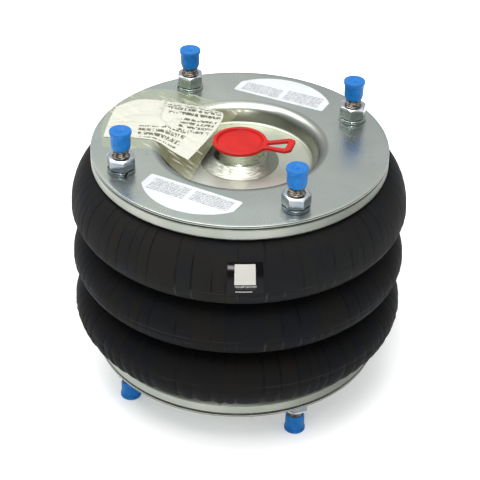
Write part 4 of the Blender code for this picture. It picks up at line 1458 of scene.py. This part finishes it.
def fold_tree():
    """Sweep a section round the axis, then press the wrapped bands into its outside."""
    board, entry = new_tree("swept_fold", [
        ("Around", "Int"), ("Crease Depth", "Float"), ("Low Crease Depth", "Float"), ("Low From", "Float"),
        ("Low To", "Float"), ("Material", "Material"),
    ])
    given = {socket.name: Number(board, socket) for socket in entry.outputs if socket.name}
    circle = board.add("GeometryNodeCurvePrimitiveCircle", {"mode": "RADIUS"},
                       {"Resolution": given["Around"], "Radius": SWEEP_RADIUS})
    section = board.add("GeometryNodeMeshToCurve", None, {"Mesh": entry.outputs["Geometry"]})
    sweep = board.add("GeometryNodeCurveToMesh", None,
                      {"Curve": circle.outputs[0], "Profile Curve": section.outputs[0]})
    place = board.add("GeometryNodeInputPosition").outputs[0]
    split = board.add("ShaderNodeSeparateXYZ", None, {0: place})
    x, y, z = (Number(board, socket) for socket in split.outputs)
    radius = board.math("SQRT", x * x + y * y)
    band = band_number(board, board.math("ARCTAN2", y, x))
    inside = board.math("FRACT", band)
    whole = board.math("FLOORED_MODULO", board.math("FLOOR", band), float(BANDS))
    dice = board.number("FunctionNodeRandomValue", {"data_type": "FLOAT"},
                        {"Min": 0.55, "Max": 1.0, "ID": whole, "Seed": 5}, output="Value")
    hump = board.math("POWER", board.math("SINE", board.math("POWER", inside, 1.25) * math.pi), 0.55)
    low = 1.0 - board.between(z, given["Low From"], given["Low To"])
    depth = given["Crease Depth"] + (given["Low Crease Depth"] - given["Crease Depth"]) * low
    outside = board.number("GeometryNodeInputNamedAttribute", {"data_type": "FLOAT"},
                           {"Name": "outside"}, output="Attribute")
    full = board.between(radius, SHOULDER, SHOULDER + 0.008)
    pull = (hump - 1.0) * depth * dice * outside * full
    offset = board.vector(x / radius * pull, y / radius * pull, 0.0)
    pressed = board.add("GeometryNodeSetPosition", None, {"Geometry": sweep.outputs[0], "Offset": offset})
    smooth = board.add("GeometryNodeSetShadeSmooth", None, {"Geometry": pressed.outputs[0]})
    return finish_tree(board, smooth.outputs[0], entry)


FOLD_TREE = fold_tree()
print("tree inputs:", ", ".join(tree_inputs(FOLD_TREE)))

# %% [markdown]
# ## The three folds
#
# A bellows stretches between its hoops and ends, and not at them. Each fold's span runs from just
# clear of one to just clear of the other, and the bands are pressed deeper at the span's lower end.

# %% Folds

def section_mesh(name, section):
    """The section as edges: X runs outwards from the sweep's circle, and -Y becomes up."""
    mesh = bpy.data.meshes.new(name)
    points = [(radius - SWEEP_RADIUS, -height, 0.0) for radius, height, _ in section]
    edges = [(n, (n + 1) % len(points)) for n in range(len(points))]
    mesh.from_pydata(points, edges, [])
    marks = mesh.attributes.new("outside", "FLOAT", "POINT")
    marks.data.foreach_set("value", [mark for _, _, mark in section])
    return mesh


def make_fold(name, section, crease, low_crease, low_from, low_to):
    fold = link(section_mesh(name, section), name)
    run_tree(fold, FOLD_TREE, {
        "Around": BANDS * 12, "Crease Depth": crease, "Low Crease Depth": low_crease,
        "Low From": low_from, "Low To": low_to, "Material": RUBBER,
    })
    shape = bmesh.new()
    shape.from_mesh(fold.data)
    bmesh.ops.recalc_face_normals(shape, faces=shape.faces)
    shape.to_mesh(fold.data)
    shape.free()
    return fold


FOLDS = (
    ("lower_fold_rubber", None, "lower", -0.0020, "lower_end", "lower_hoop"),
    ("middle_fold_rubber", "lower", "upper", 0.0010, "lower_hoop", "upper_hoop"),
    ("upper_fold_rubber", "upper", None, 0.0066, "upper_hoop", "upper_end"),
)
RIGID_BAND = 0.0042


def fold_span(low, high):
    """The heights between which a fold stretches, just clear of its ring or hoop."""
    start = LOWER_SEAT + 0.001 if low is None else HOOP_Z[low] + RIGID_BAND
    end = UPPER_SEAT - 0.001 if high is None else HOOP_Z[high] - RIGID_BAND
    return Vector((0.0, 0.0, start)), Vector((0.0, 0.0, end))


for name, low, high, sag, below, above in FOLDS:
    section = fold_section(HOOP_Z.get(high), HOOP_Z.get(low), sag)
    deep = 0.0034 if low is None else 0.00035
    start, end = fold_span(low, high)
    fold = make_fold(name, section, 0.00022, deep, start.z, start.z + 0.036)
    hand_over(fold, None, None, ["rubber_bellows"])
    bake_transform(fold)
print("folds:", TRIANGLES["upper_fold_rubber"])

# %% [markdown]
# ## Stickers, label and tape
#
# Stickers, a paper label, clear tape and a glossy film are all thin sheets on something round or bent.
# One function makes a closed sheet from a grid, and each kind brings its own rule for where a point of
# the grid lies. A cloth simulation could drape them, but stiff film only bends where it is told to.

# %% Sheets
def sheet(name, point_at, columns, rows, thickness, span):
    """A thin closed sheet. point_at gives a top point and its outward direction for shares 0 to 1."""
    shape = bmesh.new()
    flat = shape.loops.layers.uv.new("flat")
    faces, marks = [], {}
    layers = []
    for depth in (0.0, thickness):
        layer = []
        for row in range(rows + 1):
            line = []
            for column in range(columns + 1):
                s, t = column / columns, row / rows
                point, outward, mark = point_at(s, t)
                corner = shape.verts.new(point - outward * depth)
                marks[corner] = mark if mark is not None else (s * span[0], t * span[1])
                line.append(corner)
            layer.append(line)
        layers.append(layer)
    top, under = layers
    for row in range(rows):
        for column in range(columns):
            one, two = (row, column), (row, column + 1)
            three, four = (row + 1, column + 1), (row + 1, column)
            faces.append([top[r][c] for r, c in (one, two, three, four)])
            faces.append([under[r][c] for r, c in (four, three, two, one)])
    edge = [(0, c) for c in range(columns)] + [(r, columns) for r in range(rows)]
    edge += [(rows, c) for c in range(columns, 0, -1)] + [(r, 0) for r in range(rows, 0, -1)]
    for (r, c), (q, d) in zip(edge, edge[1:] + edge[:1]):
        faces.append([top[q][d], top[r][c], under[r][c], under[q][d]])
    for corners in faces:
        for loop in shape.faces.new(corners).loops:
            loop[flat].uv = marks[loop.vert]
    bmesh.ops.recalc_face_normals(shape, faces=shape.faces)
    mesh = bpy.data.meshes.new(name)
    shape.to_mesh(mesh)
    shape.free()
    mesh.shade_smooth()
    mesh.set_sharp_from_angle(angle=SMOOTH_ANGLE)
    return link(mesh, name)


UP = Vector((0.0, 0.0, 1.0))
print("sheets are raised along", tuple(UP))

# %% [markdown]
# ## Plate stickers
#
# Two white stickers lie flat on the plate. Each is a slice of a disc: one straight edge, an arc, and
# rounded corners, so its grid runs along the chord and from the chord to the arc.

# %% Plate stickers
STICKER_HALF = 0.039
STICKER_ARC = 0.0487
STICKER_HEIGHT = 0.034
STICKER_CORNER = 0.0018
STICKER_THICKNESS = 0.00014
STICKERS = (("front_sticker", -98.8, 0.0713, 0.0037), ("back_sticker", 84.3, 0.0746, 0.0032))


def sticker_point(facing, chord, aside):
    """Places on a disc's slice whose straight edge is a chord of the plate."""
    outward = Vector((math.cos(facing), math.sin(facing), 0.0))
    along = UP.cross(outward)

    def point_at(s, t):
        u = STICKER_HALF * math.sin(math.pi * (s - 0.5))
        high = STICKER_HEIGHT - STICKER_ARC + math.sqrt(STICKER_ARC ** 2 - u * u)
        into_corner = max(abs(u) - STICKER_HALF + STICKER_CORNER, 0.0)
        low = STICKER_CORNER - math.sqrt(STICKER_CORNER ** 2 - into_corner ** 2)
        v = low + (high - low) * t
        place = outward * (chord + v) + along * (aside + u)
        return place + UP * (UPPER_FACE + STICKER_THICKNESS + 0.00004), UP, (u, v)
    return point_at


for name, facing, chord, aside in STICKERS:
    point_at = sticker_point(math.radians(facing), chord, aside)
    film = sheet(name, point_at, 60, 4, STICKER_THICKNESS, None)
    hand_over(film, LABEL_WHITE, "upper_end")
print("stickers:", TRIANGLES["front_sticker"])

# %% [markdown]
# ## Label and tape
#
# A paper label was stuck across the dish's mouth under a strip of clear tape, and both have been creased
# by handling. A coarse net of points gives their outlines, smooth curves fill it in, and the height is
# the plate's own or the slack of a free sheet, with a pinched crease and fine crinkles on top.

# %% Label and tape
LABEL_NET = (
    ((-111, 16), (-100, 33), (-80, 39), (-55, 41), (-31, 43)),
    ((-107, -7), (-90, 4), (-70, 11), (-47, 15), (-27, 22)),
    ((-101, -30), (-81, -23), (-61, -20), (-47, -25), (-31, -30)),
)
TAPE_NET = (
    ((-100, 51), (-80, 57.5), (-60, 57), (-42, 54), (-19, 55)),
    ((-113, 6), (-90, 6), (-67, 8), (-45, 6), (-21.5, 2)),
    ((-95, -44), (-74, -38), (-56, -34), (-39, -44), (-20, -54)),
)
PINCH = (
    ((-79, 39), (-75, 21)), ((-75, 21), (-72, 11)), ((-72, 11), (-64, 4)), ((-64, 4), (-58, -2)),
    ((-64, 4), (-58, 15)),
)
PINCH_HEIGHT = 0.0015
PINCH_WIDTH = 0.0015
PLATE_SKIN = plate_skin(0.0163)


def along_row(row, s):
    """A smooth line through a row of points."""
    place = s * (len(row) - 1)
    n = min(int(place), len(row) - 2)
    f = place - n
    a, b, c, d = (Vector(row[min(max(n + k, 0), len(row) - 1)]) for k in (-1, 0, 1, 2))
    square = a * 2 - b * 5 + c * 4 - d
    cube = b * 3 - a - c * 3 + d
    return ((b * 2) + (c - a) * f + square * f * f + cube * f * f * f) / 2


def on_net(net, s, t):
    """A place in metres on a net of three rows."""
    back, mid, front = (along_row(row, s) for row in net)
    return (back * ((1 - t) * (1 - 2 * t)) + mid * (4 * t * (1 - t)) + front * (t * (2 * t - 1))) * 0.001


def plate_height(radius):
    """The plate's own height at a radius."""
    for (r, low), (q, high) in zip(PLATE_SKIN, PLATE_SKIN[1:]):
        if r <= radius <= q:
            return low + (high - low) * (radius - r) / max(q - r, 0.000001)
    return 0.0


def pinched(spot):
    """The height of the pinched crease near a place."""
    nearest = 1.0
    for start, end in PINCH:
        start, end = Vector(start) * 0.001, Vector(end) * 0.001
        share = min(max((spot - start).dot(end - start) / (end - start).length_squared, 0.0), 1.0)
        nearest = min(nearest, (start + (end - start) * share - spot).length)
    return PINCH_HEIGHT * math.exp(-((nearest / PINCH_WIDTH) ** 2))


def crinkle(spot, size, seed):
    """Sharp-backed folds between -0.2 and 1, long in one direction."""
    turned_x = spot.x * 0.92 - spot.y * 0.40
    turned_y = spot.x * 0.40 + spot.y * 0.92
    wave = noise.noise(Vector((turned_x / size * 0.4, turned_y / size, seed)))
    return 1.0 - min(abs(wave) * 4.0, 1.2)


def cover_point(net, lift, rough):
    """Places on a sheet that lies on the plate and hangs freely over the dish."""
    def point_at(s, t):
        spot = on_net(net, s, t)
        hanging = min(-0.13 * (spot.x + 0.061) + 0.035 * spot.y, 0.0)
        height = max(hanging, plate_height(spot.length)) + lift + pinched(spot)
        inner = min(s, 1 - s, t, 1 - t) * 8
        crumple = max(crinkle(spot, 0.011, 2.0) + 0.5 * crinkle(spot, 0.005, 5.0), 0.0)
        height += rough * min(inner + 0.3, 1.0) * crumple
        return Vector((spot.x, spot.y, UPPER_FACE + height)), UP, None
    return point_at


label = sheet("paper_label", cover_point(LABEL_NET, 0.00030, 0.00018), 80, 56, 0.0001, (0.085, 0.060))
hand_over(label, LABEL_PAPER, "upper_end")
tape = sheet("label_tape", cover_point(TAPE_NET, 0.00052, 0.00030), 150, 120, 0.00008, (0.1, 0.1))
hand_over(tape, CLEAR_TAPE, "upper_end")
print("label and tape:", TRIANGLES["paper_label"], TRIANGLES["label_tape"])

# %% [markdown]
# ## Film on the upper fold
#
# A small glossy film sits on the upper fold, where it follows the belly. Its points are set just over the
# rubber's own line and along its outward direction.

# %% Film on the upper fold
FILM_FROM = math.radians(-73.4)
FILM_TO = math.radians(-61.8)
FILM_HIGH = 0.1868
FILM_LOW = 0.1643


def film_point(s, t):
    """Places just over the upper fold's skin."""
    angle = FILM_FROM + (FILM_TO - FILM_FROM) * s
    height = FILM_HIGH + (FILM_LOW - FILM_HIGH) * t
    radius, slope = fold_radius(height)
    outward = Vector((math.cos(angle), math.sin(angle), -slope)).normalized()
    place = Vector((radius * math.cos(angle), radius * math.sin(angle), height))
    return place + outward * 0.00030, outward, None


def fold_radius(height):
    """The upper fold's outer radius at a height, and how fast it grows with the height."""
    _, low, high, sag, _, _ = FOLDS[2]
    section = fold_section(HOOP_Z.get(high), HOOP_Z.get(low), sag)
    skin = [(r, z) for r, z, outside in section if outside and r > SHOULDER]
    for (r, z), (q, y) in zip(skin, skin[1:]):
        if y <= height <= z and z - y > 0.000001:
            return q + (r - q) * (height - y) / (z - y), (r - q) / (z - y)
    return BELLY_RADIUS, 0.0


film = sheet("fold_film", film_point, 40, 30, 0.00012, (0.0262, 0.0240))
hand_over(film, LABEL_FOIL, None)
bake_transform(film)
print("film:", TRIANGLES["fold_film"])

# %% [markdown]
# ## Girdle hoops
#
# A steel wire hoop in each valley keeps the rubber from bulging there. It is a circle turned about Z,
# which gives a ring of round wire, and the folds hide nearly all of it.

# %% Girdle hoops
for side in ENDS:
    ring = [(HOOP_RADIUS + WIRE_RADIUS * math.cos(a), HOOP_Z[side] + WIRE_RADIUS * math.sin(a))
            for a in (math.tau * n / 16 for n in range(16))]
    hoop = link(turned(f"{side}_hoop_wire", ring, 200), f"{side}_hoop_wire")
    hand_over(hoop, HOOP_STEEL, f"{side}_hoop", [f"{side}_girdle_hoop"])
print("hoops:", TRIANGLES["upper_hoop_wire"])

# %% [markdown]
# ## Floor
#
# The picture stands on white with a soft shadow, so the floor is plain and nearly white. It glows a
# little, because light alone would leave it grey, and glows less near the object, where the shadow is.

# %% Floor
FLOOR_REACH = 40.0
FLOOR_GLOW = 0.38
FLOOR_GLOW_AWAY = 0.22


def floor_finish():
    floor = Finish("floor", Roughness=0.9, Emission_Strength=1.0)
    forward = floor.towards()
    aside = floor.math("ABSOLUTE", floor.across())
    away = floor.between(floor.radius(), 0.15, 0.30) * FLOOR_GLOW_AWAY
    glow = away + FLOOR_GLOW
    near = floor.math("SQRT", aside * aside * 0.64 + (forward + 0.02) * (forward + 0.02))
    glow = glow * (1.0 - (1.0 - floor.between(near, 0.095, 0.130)) * 0.4)
    behind = floor.between(0.0 - forward, 0.0, 0.07) * (1.0 - floor.between(0.0 - forward, 0.26, 0.36))
    behind = behind * (1.0 - floor.between(aside / (1.0 - forward * 0.77), 0.130, 0.152))
    glow = glow * (1.0 - behind * 0.75)
    floor.set(Base_Color=(0.86, 0.86, 0.865), Emission_Color=floor.vector(glow, glow, glow))
    return floor.material


floor_mesh = bpy.data.meshes.new("floor")
floor_shape = bmesh.new()
bmesh.ops.create_grid(floor_shape, x_segments=1, y_segments=1, size=FLOOR_REACH)
floor_shape.to_mesh(floor_mesh)
floor_shape.free()
floor = link(floor_mesh, "floor")
floor.data.materials.append(floor_finish())
print("floor:", FLOOR_REACH * 2, "m wide")

# %% [markdown]
# ## Lights
#
# One large soft light hangs almost overhead, a second stands behind on the left, and a small one shines
# from the camera's side, low down. A large light makes soft shadows and broad highlights, and a small
# one makes sharper ones.

# %% Lights
RIGHT_TURN = EYE_TURN + math.pi / 2


def soft_light(name, turn, height, distance, size, power, colour=(1.0, 1.0, 1.0)):
    """A square light that faces the object. Turn is from the camera's right, height from the floor."""
    data = bpy.data.lights.new(name, "AREA")
    data.shape = "SQUARE"
    data.size = size
    data.energy = power
    data.color = colour
    lamp = bpy.data.objects.new(name, data)
    bpy.context.scene.collection.objects.link(lamp)
    angle = RIGHT_TURN + math.radians(turn)
    rise = math.radians(height)
    away = Vector((math.cos(angle) * math.cos(rise), math.sin(angle) * math.cos(rise), math.sin(rise)))
    lamp.location = AIM + away * distance
    lamp.rotation_euler = away.to_track_quat("Z", "Y").to_euler()
    return lamp


soft_light("key_light", -104, 76, 1.6, 1.25, 22)
soft_light("back_light", 146, 58, 1.8, 1.0, 10)
soft_light("fill_light", -94.4, 20, 2.2, 0.24, 8)

# %% [markdown]
# ## Sky
#
# Metal only looks like metal when bright and dark things surround it. The sky is a dome that is bright
# above and darkens towards the horizon, and it is darker on the camera's side, as a room is behind a
# photographer.

# %% Sky
DARK_SIDE = 0.6


def sky():
    world = bpy.data.worlds.new("studio")
    world.use_nodes = True
    bpy.context.scene.world = world
    board = Board(world.node_tree)
    direction = board.add("ShaderNodeTexCoord").outputs["Generated"]
    split = board.add("ShaderNodeSeparateXYZ", None, {0: direction})
    x, y, height = (Number(board, socket) for socket in split.outputs)
    stops = [(0.0, (0.20, 0.21, 0.22, 1.0)), (0.35, (0.48, 0.49, 0.50, 1.0)),
             (0.60, (0.66, 0.67, 0.67, 1.0)), (0.85, (1.25, 1.25, 1.25, 1.0))]
    ramp = board.add("ShaderNodeValToRGB", {"stops": stops}, {0: height})
    towards_camera = x * math.cos(EYE_TURN) + y * math.sin(EYE_TURN)
    dim = board.between(towards_camera, 0.0, 0.7) * DARK_SIDE
    background = world.node_tree.nodes["Background"]
    board.feed(background.inputs["Color"], board.blend(dim, ramp.outputs[0], (0.0, 0.0, 0.0)))
    background.inputs["Strength"].default_value = 1.0
    return world


bpy.context.scene.view_settings.view_transform = "Standard"
print("sky:", sky().name)

# %% [markdown]
# ## Triangles
#
# The triangles of all the dressed pieces are counted and printed. The dressed model has to
# stay in the box of the imported one.

# %% Finish
print("triangles:", sum(TRIANGLES.values()))
